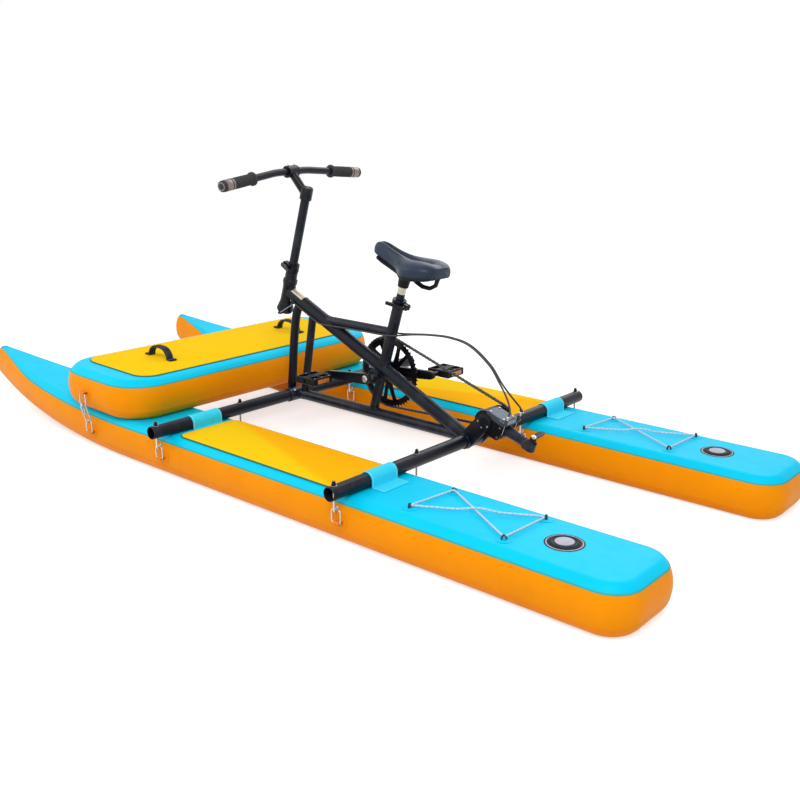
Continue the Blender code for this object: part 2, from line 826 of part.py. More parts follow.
def bow_board():
    """The cross board on the bows, which leans on the decks front and rear."""
    front = BOARD_REAR_X + BOARD_DEPTH - RAIL_INSET
    rear = BOARD_REAR_X + RAIL_INSET
    climb = deck_height(front) - deck_height(rear)
    pitch = math.atan2(climb, front - rear)
    centre = BOARD_REAR_X + BOARD_DEPTH / 2
    seat = (deck_height(front) + deck_height(rear)) / 2 + GAP
    frame = frame_at("bow_board_frame", (centre, 0.0, seat), turn_about("Y", -pitch))
    body = inflated(board_half_outline(), lambda x: 0.0, lambda x: BOARD_THICKNESS,
                    lambda x: RAIL_INSET)
    fittings = [body]
    for side in (1, -1):
        fittings += tie_ring(CLIP_X - centre, BOARD_LENGTH / 2, side, BOARD_RING_Z,
                             BOARD_RING_Z - BOARD_RING_DROP)
    place(fuse(fittings), "bow_board", "orange", frame)
    for name, side in (("port", 1), ("starboard", -1)):
        ring_bar = Vector((CLIP_X - centre, side * (BOARD_LENGTH / 2 + RING_STAND_OFF),
                           BOARD_RING_Z - BOARD_RING_DROP))
        board_clip(name + "_board_clip", side, frame.matrix_world @ ring_bar)
    top = BOARD_THICKNESS + GAP
    outline = rounded_rectangle(BOARD_PAD_DEPTH, BOARD_PAD_LENGTH, BOARD_PAD_CORNER)
    pad = plate([outline], PAD_THICKNESS, Matrix.Translation((0.0, 0.0, top + PAD_THICKNESS / 2)))
    place(pad, "bow_board_pad", "yellow", frame)
    for name, side in (("port", 1), ("starboard", -1)):
        carrying_handle(name + "_board_handle", side * HANDLE_Y, top + PAD_THICKNESS + GAP, frame)


def board_clip(name, side, upper):
    """A closed wire clip round a hull's ring and the board's ring above it."""
    outboard = HULL_SPACING / 2 + bow_half_width(CLIP_X) + RING_STAND_OFF
    lower = Vector((CLIP_X, side * outboard, CLIP_LOW_Z))
    low, high = Vector((lower.y, lower.z)), Vector((upper.y, upper.z))
    inward = (high - low).normalized() * (CLIP_BEND - RING_WIRE - CLIP_WIRE - GAP)
    outline = two_circle_outline(low + inward, CLIP_BEND, high - inward, CLIP_BEND, 4)
    loop = [Vector((0.0, y - lower.y, z - lower.z)) for y, z in outline]
    place(pipe(loop, CLIP_WIRE, 1, cyclic=True), name, "steel", frame_at(name + "_frame", lower))


def carrying_handle(name, y, foot, frame):
    """A stiff webbing handle arched between two sewn feet."""
    half = HANDLE_SPAN / 2
    rise = HANDLE_HEIGHT
    centre_line = [(-half, 0.0), (-half + 0.022, 0.0)]
    crown = [(-0.62, 0.42), (-0.45, 0.82), (-0.22, 0.98), (0.0, 1.0),
             (0.22, 0.98), (0.45, 0.82), (0.62, 0.42)]
    centre_line += [(u * half, v * rise) for u, v in crown]
    centre_line += [(half - 0.022, 0.0), (half, 0.0)]
    smooth = [(p.x, p.y) for p in smooth_path([(u, v, 0.0) for u, v in centre_line], 0.012)]
    smooth = [(u, max(0.0, v)) for u, v in smooth]
    upper = []
    for i, (u, v) in enumerate(smooth):
        before = Vector(smooth[max(i - 1, 0)])
        after = Vector(smooth[min(i + 1, len(smooth) - 1)])
        along = (after - before).normalized()
        upper.append((u - along.y * HANDLE_THICKNESS, v + along.x * HANDLE_THICKNESS))
    outline = smooth + upper[::-1]
    lift = Matrix.Translation((0.0, y, foot))
    place(plate([outline], HANDLE_WIDTH, lift @ UPRIGHT), name, "webbing", frame)


# Frame

def in_plane(point, y=0.0):
    """A point of the middle plane, given as (x, z), as a 3-D point."""
    return Vector((point[0], y, point[1]))


def lean_direction(angle):
    return Vector((-math.sin(angle), 0.0, math.cos(angle)))


def meeting(point, direction, start, end):
    """Where a line in the middle plane meets the line through two points."""
    point, start = in_plane(point), in_plane(start)
    run = in_plane(end) - start
    side = Vector((-run.z, 0.0, run.x))
    return point + direction * ((start - point).dot(side) / direction.dot(side))


def head_rotation():
    return turn_about("Y", -HEAD_LEAN)


def post_path():
    """The front post: up from the front of its sleeve and back to the main tube."""
    foot_x = FRONT_BEAM_X + BEAM_RADIUS + SLEEVE_WALL + POST_RADIUS * 0.65
    top = Vector((0.132, 0.0, 0.455))
    bend = Vector((0.164, 0.0, 0.395))
    return smooth_path([(foot_x, 0.0, 0.129), (foot_x - 0.010, 0.0, 0.215),
                        (foot_x - 0.020, 0.0, 0.320), bend, (0.151, 0.0, 0.430), top], 0.045)


def main_frame():
    """The welded frame: tubes, sleeves, bottom bracket shell and drive bracket."""
    axis_z = beam_axis_z()
    seat_line = lean_direction(SEAT_LEAN)
    crossing = meeting(SEAT_TOP, seat_line, MAIN_TUBE_FRONT, MAIN_TUBE_REAR)
    strut_foot = meeting(SEAT_TOP, seat_line, (0.0, axis_z), (1.0, axis_z))
    top_front = meeting((0.0, TOP_TUBE_Z), Vector((1.0, 0.0, 0.0)), MAIN_TUBE_FRONT, MAIN_TUBE_REAR)
    top_rear = meeting(SEAT_TOP, seat_line, (0.0, TOP_TUBE_Z), (1.0, TOP_TUBE_Z))
    shell_end = SHELL_LENGTH / 2
    outer = BEAM_RADIUS + SLEEVE_WALL
    profile = [(0.0, HEAD_LENGTH), (HEAD_TOP_RADIUS, HEAD_LENGTH), (HEAD_TOP_RADIUS, 0.032),
               (HEAD_FOOT_RADIUS, 0.008), (HEAD_FOOT_RADIUS, 0.0), (0.0, 0.0)]
    head_place = Matrix.Translation(in_plane(HEAD_FOOT)) @ head_rotation()
    pieces = [
        bar(in_plane(MAIN_TUBE_REAR), in_plane(MAIN_TUBE_FRONT), MAIN_TUBE_RADIUS, 14),
        turned(profile, head_place, 18),
        bar((REAR_BEAM_X, 0.0, axis_z), (FRONT_BEAM_X, 0.0, axis_z), KEEL_TUBE_RADIUS, 12),
        bar(crossing, in_plane(SEAT_TOP), SEAT_TUBE_RADIUS, 14),
        bar(strut_foot, crossing, SEAT_STRUT_RADIUS, 10),
        bar(top_rear, top_front, TOP_TUBE_RADIUS, 10),
        pipe(post_path(), POST_RADIUS, 2),
        bar((FRONT_BEAM_X - outer - BRACE_RADIUS * 0.65, 0.0, BRACE_FOOT_Z), in_plane(BRACE_TOP),
            BRACE_RADIUS, 10),
        bar(in_plane(CRANK_CENTRE, -shell_end), in_plane(CRANK_CENTRE, shell_end), SHELL_RADIUS),
    ]
    for x in (FRONT_BEAM_X, REAR_BEAM_X):
        pieces.append(bar((x, -SLEEVE_LENGTH / 2, axis_z), (x, SLEEVE_LENGTH / 2, axis_z), outer))
    for side in (1, -1):
        pieces.append(bracket_plate(side))
        stop = cable_point(0, side)
        onward = (cable_point(1, side) - stop).normalized()
        pieces.append(bar(stop - onward * 0.014, stop - onward * GAP, CABLE_RADIUS + 0.0026, 10))
    frame = frame_at("main_frame_frame", (0.0, 0.0, 0.0))
    seat_bore = in_plane(SEAT_TOP) + seat_line * (POST_FOOT - SEAT_TRAVEL_DOWN - 0.008)
    cutters = [
        bar(in_plane(HEAD_FOOT) - lean_direction(HEAD_LEAN) * 0.01,
            in_plane(HEAD_FOOT) + lean_direction(HEAD_LEAN) * (HEAD_LENGTH + 0.01),
            STEERER_RADIUS + GAP, 20),
        bar(seat_bore, in_plane(SEAT_TOP) + seat_line * 0.01, POST_OUTER + GAP),
        bar(in_plane(CRANK_CENTRE, -0.05), in_plane(CRANK_CENTRE, 0.05), AXLE_RADIUS + GAP),
        bar(in_plane(DRIVE_CENTRE, -0.05), in_plane(DRIVE_CENTRE, 0.05), TRUNNION_RADIUS + GAP, 20),
        button_hole(),
    ]
    for x in (FRONT_BEAM_X, REAR_BEAM_X):
        cutters.append(bar((x, -0.07, axis_z), (x, 0.07, axis_z), BEAM_RADIUS + GAP))
    place(carve(fuse(pieces), cutters), "main_frame", "black_paint", frame)


def bracket_plate(side):
    """One cheek that carries the tilting drive behind the rear sleeve."""
    outline = two_circle_outline((REAR_BEAM_X, beam_axis_z()), BRACKET_RADIUS,
                                 DRIVE_CENTRE, BRACKET_RADIUS, 6)
    middle = BRACKET_INNER_Y + BRACKET_THICKNESS / 2
    return plate([outline], BRACKET_THICKNESS, Matrix.Translation((0.0, side * middle, 0.0)) @ UPRIGHT)


def button_axis():
    """The spring button's foot on the beam's axis, and its outward direction."""
    return Vector((FRONT_BEAM_X, BUTTON_Y, beam_axis_z())), Vector((-1.0, 0.0, 1.0)).normalized()


def button_hole(origin=Vector()):
    """The hole for the button, seen from the given origin."""
    foot, outward = button_axis()
    return bar(foot - origin + outward * 0.010, foot - origin + outward * 0.040, BUTTON_RADIUS + GAP, 12)


def spring_button():
    """A button that locks the front beam in its sleeve, with a collar inside."""
    foot, outward = button_axis()
    inner = BEAM_RADIUS - BEAM_WALL
    tip = BEAM_RADIUS + SLEEVE_WALL + BUTTON_TRAVEL
    pin = bar(foot + outward * (inner - 0.003), foot + outward * tip, BUTTON_RADIUS, 12)
    collar = bar(foot + outward * (inner - 0.004), foot + outward * (inner - 0.0012),
                 BUTTON_RADIUS + 0.0015, 12)
    frame = frame_at("front_button_frame", foot)
    button = fuse([pin, collar])
    button.data.transform(Matrix.Translation(-foot))
    place(button, "front_button", "steel", frame)


# Steering

def steering():
    """Everything that turns with the column, built straight ahead and turned."""
    pivot = frame_at("steering_axis", in_plane(HEAD_FOOT),
                     head_rotation() @ turn_about("Z", STEER_ANGLE))
    cap = HEAD_FOOT_RADIUS - 0.0035
    profile = [(0.0, STEERER_TOP), (STEERER_RADIUS, STEERER_TOP), (STEERER_RADIUS, COLLAR_TOP),
               (0.0195, COLLAR_TOP), (0.0195, 0.110), (cap, 0.106), (cap, HEAD_LENGTH + GAP),
               (STEERER_RADIUS, HEAD_LENGTH + GAP), (STEERER_RADIUS, -GAP), (cap, -GAP),
               (cap, -0.006), (0.0, -0.006)]
    horn = block((0.010, 2 * HORN_REACH, 0.005), (0.0, 0.0, -0.0078))
    bore = bar((0.0, 0.0, -0.02), (0.0, 0.0, STEERER_TOP + 0.01), COLUMN_RADIUS + GAP)
    steerer = carve(fuse([turned(profile, sides=16), horn]), [bore])
    hide_with([bore], pivot)
    place(steerer, "steerer_tube", "black_paint", pivot)
    quick_clamp("column", pivot, STEERER_RADIUS, COLLAR_TOP + 0.002, 1)
    column = sleeve((0.0, 0.0, COLUMN_FOOT), (0.0, 0.0, COLUMN_TOP), COLUMN_RADIUS,
                    COLUMN_RADIUS - COLUMN_WALL, 16)
    place(column, "column_tube", "black_paint", pivot)
    stem(pivot)
    handlebar(pivot)


def quick_clamp(name, frame, tube_radius, foot, facing):
    """A split collar with two ears, a cross bolt and a quick-release lever.

    The ears face forward where facing is 1, and back where it is -1.
    """
    inner = tube_radius + GAP
    outer = inner + CLAMP_WALL
    middle = foot + CLAMP_HEIGHT / 2
    ear_tip = outer + EAR_REACH
    ear_root = inner + 0.001
    ear_size = (ear_tip - ear_root, EAR_THICKNESS, CLAMP_HEIGHT * EAR_HEIGHT_SHARE)
    ear_x = facing * (ear_tip + ear_root) / 2
    ear_y = (CLAMP_SLOT + EAR_THICKNESS) / 2
    pieces = [sleeve((0.0, 0.0, foot), (0.0, 0.0, foot + CLAMP_HEIGHT), outer, inner, 18)]
    pieces += [block(ear_size, (ear_x, side * ear_y, middle)) for side in (1, -1)]
    bolt_x = facing * (ear_tip - BOLT_INSET)
    ear_face = CLAMP_SLOT / 2 + EAR_THICKNESS
    slot = block((0.03, CLAMP_SLOT, CLAMP_HEIGHT + 0.01), (facing * outer, 0.0, middle))
    collar = carve(fuse(pieces), [slot])
    hide_with([slot], frame)
    head = Vector((bolt_x, -ear_face - BOLT_HEAD_HEIGHT, middle))
    bolt = fuse([bar(head + Vector((0.0, 0.001, 0.0)), (bolt_x, ear_face - 0.001, middle),
                     BOLT_RADIUS, 8),
                 bar(head, (bolt_x, 0.001 - ear_face, middle), BOLT_HEAD_RADIUS, 6)])
    place(fuse([collar, bolt]), name + "_clamp", "black_paint", frame)
    cam = Vector((bolt_x, ear_face + GAP + CAM_RADIUS))
    tip = cam + Vector((-facing * LEVER_LENGTH, LEVER_SPLAY))
    blade = plate([two_circle_outline(cam, CAM_RADIUS, tip, LEVER_TIP_RADIUS, 6)], LEVER_HEIGHT,
                  Matrix.Translation((0.0, 0.0, middle)))
    place(soften(blade, 0.0012, 1), name + "_lever", "black_plastic", frame,
          origin=(cam.x, cam.y, middle))


def stem(pivot):
    """The stem: a cap on the column, an arm and a clamp round the handlebar."""
    inner = COLUMN_RADIUS + GAP
    top = COLUMN_TOP
    profile = [(0.0, top + 0.008), (0.0165, top + 0.008), (0.0190, top + 0.004), (0.0190, top - 0.030),
               (inner, top - 0.030), (inner, top + GAP), (0.0, top + GAP)]
    clamp = Vector((STEM_REACH, 0.0, top + STEM_RISE))
    pieces = [
        turned(profile, sides=16),
        bar((0.010, 0.0, top - 0.010), clamp, 0.0130, 10),
        bar(clamp - Vector((0.0, 0.022, 0.0)), clamp + Vector((0.0, 0.022, 0.0)), 0.0185, 14),
    ]
    cutters = [
        bar((0.0, 0.0, top - 0.04), (0.0, 0.0, top + GAP), inner),
        bar(clamp - Vector((0.0, 0.04, 0.0)), clamp + Vector((0.0, 0.04, 0.0)), BAR_RADIUS + GAP),
    ]
    body = carve(fuse(pieces), cutters)
    hide_with(cutters, pivot)
    place(body, "stem", "black_paint", pivot)


def bar_point(side, y):
    """A point on the straight outer stretch of the handlebar."""
    share = (y - BAR_STRAIGHT) / (BAR_HALF_LENGTH - BAR_STRAIGHT)
    height = COLUMN_TOP + STEM_RISE - BAR_DROP * share
    return Vector((STEM_REACH - BAR_SWEEP * share, side * y, height))


def handlebar(pivot):
    """The handlebar: straight in its clamp, then swept back and down a little."""
    middle = Vector((STEM_REACH, 0.0, COLUMN_TOP + STEM_RISE))
    path = []
    for side in (-1, 1):
        half = [bar_point(side, BAR_HALF_LENGTH), bar_point(side, BAR_STRAIGHT + 0.030),
                bar_point(side, BAR_STRAIGHT + 0.010),
                middle + Vector((0.0, side * (BAR_STRAIGHT - 0.012), 0.0))]
        path += half if side < 0 else half[::-1]
    place(pipe(path, BAR_RADIUS, 3), "handlebar", "black_paint", pivot)
    for name, side in (("left", 1), ("right", -1)):
        end = bar_point(side, BAR_HALF_LENGTH)
        along = (end - bar_point(side, BAR_STRAIGHT)).normalized()
        foot = end - along * GRIP_LENGTH
        bore = BAR_RADIUS + GAP
        profile = [(0.0, GRIP_LENGTH + 0.004), (GRIP_RADIUS - 0.002, GRIP_LENGTH + 0.004),
                   (GRIP_RADIUS, GRIP_LENGTH + 0.002), (GRIP_RADIUS, 0.009), (GRIP_FLANGE, 0.006),
                   (GRIP_FLANGE, 0.0), (bore, 0.0), (bore, GRIP_LENGTH + GAP), (0.0, GRIP_LENGTH + GAP)]
        turn = along.to_track_quat("Z", "Y").to_matrix().to_4x4()
        grip = turned(profile, Matrix.Translation(foot) @ turn, 14)
        place(grip, name + "_grip", "black_plastic", pivot)


# Saddle

def seat():
    """The seat post, its clamp, and the saddle with its carrying loop."""
    axis = frame_at("seat_axis", in_plane(SEAT_TOP), turn_about("Y", -SEAT_LEAN))
    quick_clamp("seat", axis, SEAT_TUBE_RADIUS, -CLAMP_HEIGHT + 0.001, -1)
    post = bar((0.0, 0.0, POST_FOOT), (0.0, 0.0, POST_TOP), POST_OUTER)
    place(post, "seat_post", "steel", axis)
    saddle_base(axis)
    saddle_frame = frame_at("saddle_frame", in_plane(SADDLE_ORIGIN), turn_about("Y", -SADDLE_PITCH))
    cushion = saddle_cushion()
    cushion.data.transform(saddle_frame.matrix_world)
    cushion.data.transform(axis.matrix_world.inverted())
    place(cushion, "saddle_cushion", "black_plastic", axis)


def saddle_x(share):
    """A place along the saddle, from its rear at 0 to its nose at 1."""
    return SADDLE_REAR + (SADDLE_NOSE - SADDLE_REAR) * share


def saddle_underside(share):
    """Half width and lift of the saddle's underside at a share of its length."""
    for station, following in zip(SADDLE_STATIONS, SADDLE_STATIONS[1:]):
        if share <= following[0]:
            t = (share - station[0]) / (following[0] - station[0])
            return [station[k] + (following[k] - station[k]) * t for k in (1, 2)]
    return SADDLE_STATIONS[-1][1:3]


def saddle_cushion():
    """The padded cover: a coarse cage with a channel along its top."""
    rings = []
    for share, wide, lift, tall in SADDLE_STATIONS:
        x = saddle_x(share)
        dip = SADDLE_CHANNEL * math.sin(math.pi * share) ** 0.5
        section = [(0.0, 1.0 - dip / tall), (0.28, 1.0), (0.62, 1.01), (0.95, 0.72),
                   (1.0, 0.34), (0.90, 0.0), (0.0, 0.0)]
        left = [(x, v * wide, lift + w * (tall - lift)) for v, w in section]
        right = [(x, -y, z) for x, y, z in left[-2:0:-1]]
        rings.append(left + right)
    cage = lofted(rings)
    skin = cage.modifiers.new("soft form", "SUBSURF")
    skin.levels = 1
    skin.render_levels = 1
    return bake(cage)


def saddle_base(axis):
    """The hard shell under the cushion, its hub and the carrying loop."""
    rear, nose = SADDLE_BASE_ENDS
    rings = []
    for share in [rear] + [s[0] for s in SADDLE_STATIONS if rear < s[0] < nose] + [nose]:
        wide, lift = saddle_underside(share)
        x, y = saddle_x(share), SADDLE_BASE_SHARE * wide
        low = lift - SADDLE_BASE_THICKNESS
        rings.append([(x, 0.0, lift - SADDLE_BASE_SAG), (x, y, lift), (x, y, low),
                      (x, 0.0, low - SADDLE_BASE_SAG), (x, -y, low), (x, -y, lift)])
    shell = lofted(rings)
    origin = in_plane(SADDLE_ORIGIN)
    shell.data.transform(Matrix.Translation(origin) @ turn_about("Y", -SADDLE_PITCH))
    line = lean_direction(SEAT_LEAN)
    top = in_plane(SEAT_TOP)
    x, z = SADDLE_ORIGIN
    onward = (x + math.cos(SADDLE_PITCH), z + math.sin(SADDLE_PITCH))
    hub_top = meeting(SEAT_TOP, line, SADDLE_ORIGIN, onward) - line * SADDLE_HUB_SUNK
    flare = SADDLE_HUB_RADIUS + 0.003
    hub = bar(top + line * SADDLE_HUB_FOOT, hub_top, SADDLE_HUB_RADIUS, 14, flare)
    loop = [(-0.018, -0.008), (-0.040, -0.024), (-0.062, -0.034), (-0.088, -0.036),
            (-0.108, -0.026), (-0.117, -0.004)]
    carrying_loop = pipe(smooth_path([origin + Vector((u, 0.0, v)) for u, v in loop], 0.02),
                         SADDLE_LOOP_RADIUS, 1)
    base = carve(fuse([shell, hub, carrying_loop]),
                 [bar(top, top + line * (POST_TOP + GAP), POST_OUTER + GAP)])
    base.data.transform(axis.matrix_world.inverted())
    place(base, "saddle_base", "black_plastic", axis)


# Pedals, cranks and chain

def pedal_drive():
    """The crank axle with its chainring, two arms, two pedals and the chain."""
    axis = frame_at("crank_axis", in_plane(CRANK_CENTRE), turn_about("Y", CRANK_ANGLE))
    face = CRANK_Y + CRANK_THICKNESS / 2
    axle = bar((0.0, -face, 0.0), (0.0, face, 0.0), AXLE_RADIUS, 12)
    place(axle, "crank_axle", "steel", axis)
    chainring(axis)
    for name, side in (("left", 1), ("right", -1)):
        crank(name, side, axis)
    drive_chain()


def chainring(axis):
    """A toothless ring plate with windows between curved spokes."""
    disc = arc((0.0, 0.0), CHAINRING_RADIUS, 0, 360, 36)[:-1]
    windows = []
    pitch = 360 / CHAINRING_SPOKES
    for spoke in range(CHAINRING_SPOKES):
        turn = spoke * pitch
        window = arc((0.0, 0.0), CHAINRING_RADIUS - RING_RIM, turn + 6, turn + pitch - 6, 5)
        window += arc((0.0, 0.0), 0.062, turn + pitch + 1, turn + pitch + 1, 1)[:1]
        window += arc((0.0, 0.0), 0.033, turn + pitch + 6, turn + 34, 3)
        window += arc((0.0, 0.0), 0.058, turn + 17, turn + 17, 1)[:1]
        windows.append(window)
    ring = plate([disc] + windows, RING_PLATE, Matrix.Translation((0.0, CHAIN_Y, 0.0)) @ UPRIGHT)
    inner_face = CRANK_Y - CRANK_THICKNESS / 2
    hub = bar((0.0, CHAIN_Y + 0.004, 0.0), (0.0, GAP - inner_face, 0.0), 0.022, 16)
    bore = bar((0.0, -0.07, 0.0), (0.0, -0.03, 0.0), AXLE_RADIUS + GAP, 12)
    ring = carve(fuse([ring, hub]), [bore])
    hide_with([bore], axis)
    place(ring, "chainring", "black_paint", axis)


def crank(name, side, axis):
    """A crank arm with its pedal spindle, and the pedal that turns on it."""
    outline = two_circle_outline((0.0, 0.0), 0.0170, (side * CRANK_LENGTH, 0.0), 0.0125, 6)
    arm = plate([outline], CRANK_THICKNESS, Matrix.Translation((0.0, side * CRANK_Y, 0.0)) @ UPRIGHT)
    near, far = PEDAL_Y - PEDAL_WIDTH / 2 - 0.001, PEDAL_Y + PEDAL_WIDTH / 2 - 0.004
    reach = side * CRANK_LENGTH
    inner_end = (reach, side * (CRANK_Y - 0.003), 0.0)
    spindle = bar(inner_end, (reach, side * far, 0.0), SPINDLE_RADIUS, 10)
    shoulder = bar((reach, side * CRANK_Y, 0.0), (reach, side * near, 0.0), SPINDLE_RADIUS * 1.5, 10)
    bore = bar((0.0, side * 0.04, 0.0), (0.0, side * 0.08, 0.0), AXLE_RADIUS + GAP, 12)
    arm = carve(fuse([arm, spindle, shoulder]), [bore])
    hide_with([bore], axis)
    place(arm, name + "_crank", "black_paint", axis)
    level = frame_at(name + "_pedal_axis", (reach, side * PEDAL_Y, 0.0),
                     turn_about("Y", -CRANK_ANGLE), axis)
    body = block((PEDAL_LENGTH, PEDAL_WIDTH, PEDAL_HEIGHT), (0.0, 0.0, 0.0), bevel=0.003)
    cutters = [bar((0.0, -0.06, 0.0), (0.0, 0.06, 0.0), SPINDLE_RADIUS + GAP, 12)]
    window = (PEDAL_LENGTH / 2 - 0.020, PEDAL_WIDTH / 2 - 0.008, 0.06)
    for u in (1, -1):
        for v in (1, -1):
            centre = (u * (0.0125 + window[0] / 2), v * (0.002 + window[1] / 2), 0.0)
            cutters.append(block(window, centre))
    pedal = carve(body, cutters)
    hide_with(cutters, level)
    place(pedal, name + "_pedal", "black_plastic", level)


def drive_chain():
    """The chain as a plain band round the chainring and the sprocket."""
    loops = []
    for depth in (CHAIN_PLAY + CHAIN_DEPTH, CHAIN_PLAY):
        loops.append(two_circle_outline(CRANK_CENTRE, CHAINRING_RADIUS + depth,
                                        DRIVE_CENTRE, SPROCKET_RADIUS + depth, 16))
    chain = plate(loops, CHAIN_WIDTH, Matrix.Translation((0.0, CHAIN_Y, 0.0)) @ UPRIGHT)
    place(chain, "drive_chain", "black_plastic", frame_at("drive_chain_frame", (0.0, 0.0, 0.0)))


# Tilting drive

def tilting_drive():
    """The gear case that tilts on the bracket, with its leg and propeller."""
    axis = frame_at("drive_axis", in_plane(DRIVE_CENTRE), turn_about("Y", -DRIVE_PITCH))
    gear_case(axis)
    gear_cover(axis)
    input_side(axis)
    leg_axis = frame_at("leg_axis", (0.0, 0.0, 0.0), turn_about("X", -STEER_ANGLE), axis)
    drive_leg(leg_axis)
    propeller_axis = frame_at("propeller_axis", (-HUB_DISTANCE, 0.0, 0.0),
                              turn_about("Z", PROPELLER_ANGLE), leg_axis)
    propeller(propeller_axis)
    return axis, leg_axis


def gear_case(axis):
    """The case between the cheeks, bored for its shafts and its bevel gears."""
    half = BRACKET_INNER_Y - GAP
    outline = arc((0.0, 0.0), CASE_RADIUS, -95, 83, 10)
    outline += [(outline[-1][0], CASE_TOPSIDE), (-CASE_REACH, CASE_TOPSIDE),
                (-CASE_REACH, -CASE_UNDERSIDE + 0.006), (-CASE_REACH + 0.006, -CASE_UNDERSIDE)]
    body = plate([outline], 2 * half, UPRIGHT)
    trunnions = bar((0.0, -TRUNNION_LENGTH, 0.0), (0.0, TRUNNION_LENGTH, 0.0), TRUNNION_RADIUS)
    cutters = [
        bar((0.0, -CHAMBER_DEPTH, 0.0), (0.0, CHAMBER_DEPTH, 0.0), CHAMBER_RADIUS, 14),
        bar((0.0, -0.05, 0.0), (0.0, 0.0, 0.0), INPUT_RADIUS + GAP, 12),
        bar((-CASE_REACH - 0.01, 0.0, 0.0), (-JOURNAL_END + 0.002, 0.0, 0.0), JOURNAL_RADIUS + GAP),
        bar((-JOURNAL_END - 0.002, 0.0, 0.0), (0.0, 0.0, 0.0), SHAFT_RADIUS + 0.003, 12),
    ]
    body = carve(fuse([body, trunnions]), cutters)
    hide_with(cutters, axis)
    place(body, "gear_case", "black_plastic", axis)


def gear_cover(axis):
    """The metal lid of the case, with the cable anchor that stands on it."""
    half = BRACKET_INNER_Y - GAP
    front = CASE_RADIUS * math.cos(math.radians(83)) - GAP
    foot = CASE_TOPSIDE + GAP
    lid = block((front + CASE_REACH, 2 * half, COVER_HEIGHT),
                ((front - CASE_REACH) / 2, 0.0, foot + COVER_HEIGHT / 2), bevel=0.002)
    tail = BARREL_X - BARREL_RADIUS - 0.003
    anchor = block((-0.045 - tail, 2 * (BARREL_Y + BARREL_RADIUS), ANCHOR_THICKNESS),
                   ((-0.045 + tail) / 2, 0.0, ANCHOR_Z + ANCHOR_THICKNESS / 2))
    pieces = [lid, anchor]
    cutters = []
    for side in (1, -1):
        y = side * BARREL_Y
        pieces.append(bar((BARREL_X, y, ANCHOR_Z + 0.002), (BARREL_X, y, BARREL_TOP), BARREL_RADIUS, 6))
        cutters.append(bar((BARREL_X, y, ANCHOR_Z - 0.01), (BARREL_X, y, BARREL_TOP + 0.01), 0.0016, 8))
    cover = carve(fuse(pieces), cutters)
    hide_with(cutters, axis)
    place(cover, "gear_cover", "grey_metal", axis)


def bevel_gear(centre, towards):
    """A bevel gear as a plain cone whose tip would lie on the centre."""
    centre, towards = Vector(centre), Vector(towards)
    return bar(centre + towards * BEVEL_FAR, centre + towards * BEVEL_NEAR,
               BEVEL_FAR - BEVEL_PLAY, 14, BEVEL_NEAR - BEVEL_PLAY)


def input_side(axis):
    """The sprocket and the shaft that carries it into the case."""
    end = CHAIN_Y - 0.0024
    shaft = fuse([bar((0.0, end - 0.004, 0.0), (0.0, -BEVEL_FAR + 0.001, 0.0), INPUT_RADIUS, 10),
                  bevel_gear((0.0, 0.0, 0.0), (0.0, -1.0, 0.0)),
                  bar((0.0, end - 0.0045, 0.0), (0.0, end - GAP, 0.0), 0.0085, 6)])
    place(shaft, "input_shaft", "steel", axis)
    disc = arc((0.0, 0.0), SPROCKET_RADIUS, 0, 360, 20)[:-1]
    pieces = [plate([disc], RING_PLATE, Matrix.Translation((0.0, CHAIN_Y, 0.0)) @ UPRIGHT),
              bar((0.0, end, 0.0), (0.0, -TRUNNION_LENGTH - GAP, 0.0), 0.012, 12)]
    bore = bar((0.0, -0.07, 0.0), (0.0, -0.03, 0.0), INPUT_RADIUS + GAP, 10)
    sprocket = carve(fuse(pieces), [bore])
    hide_with([bore], axis)
    place(sprocket, "drive_sprocket", "steel", axis)


def hub_top():
    """Height of the leg's gear hub over the leg's axis."""
    return CHAMBER_DEPTH + HUB_WALL


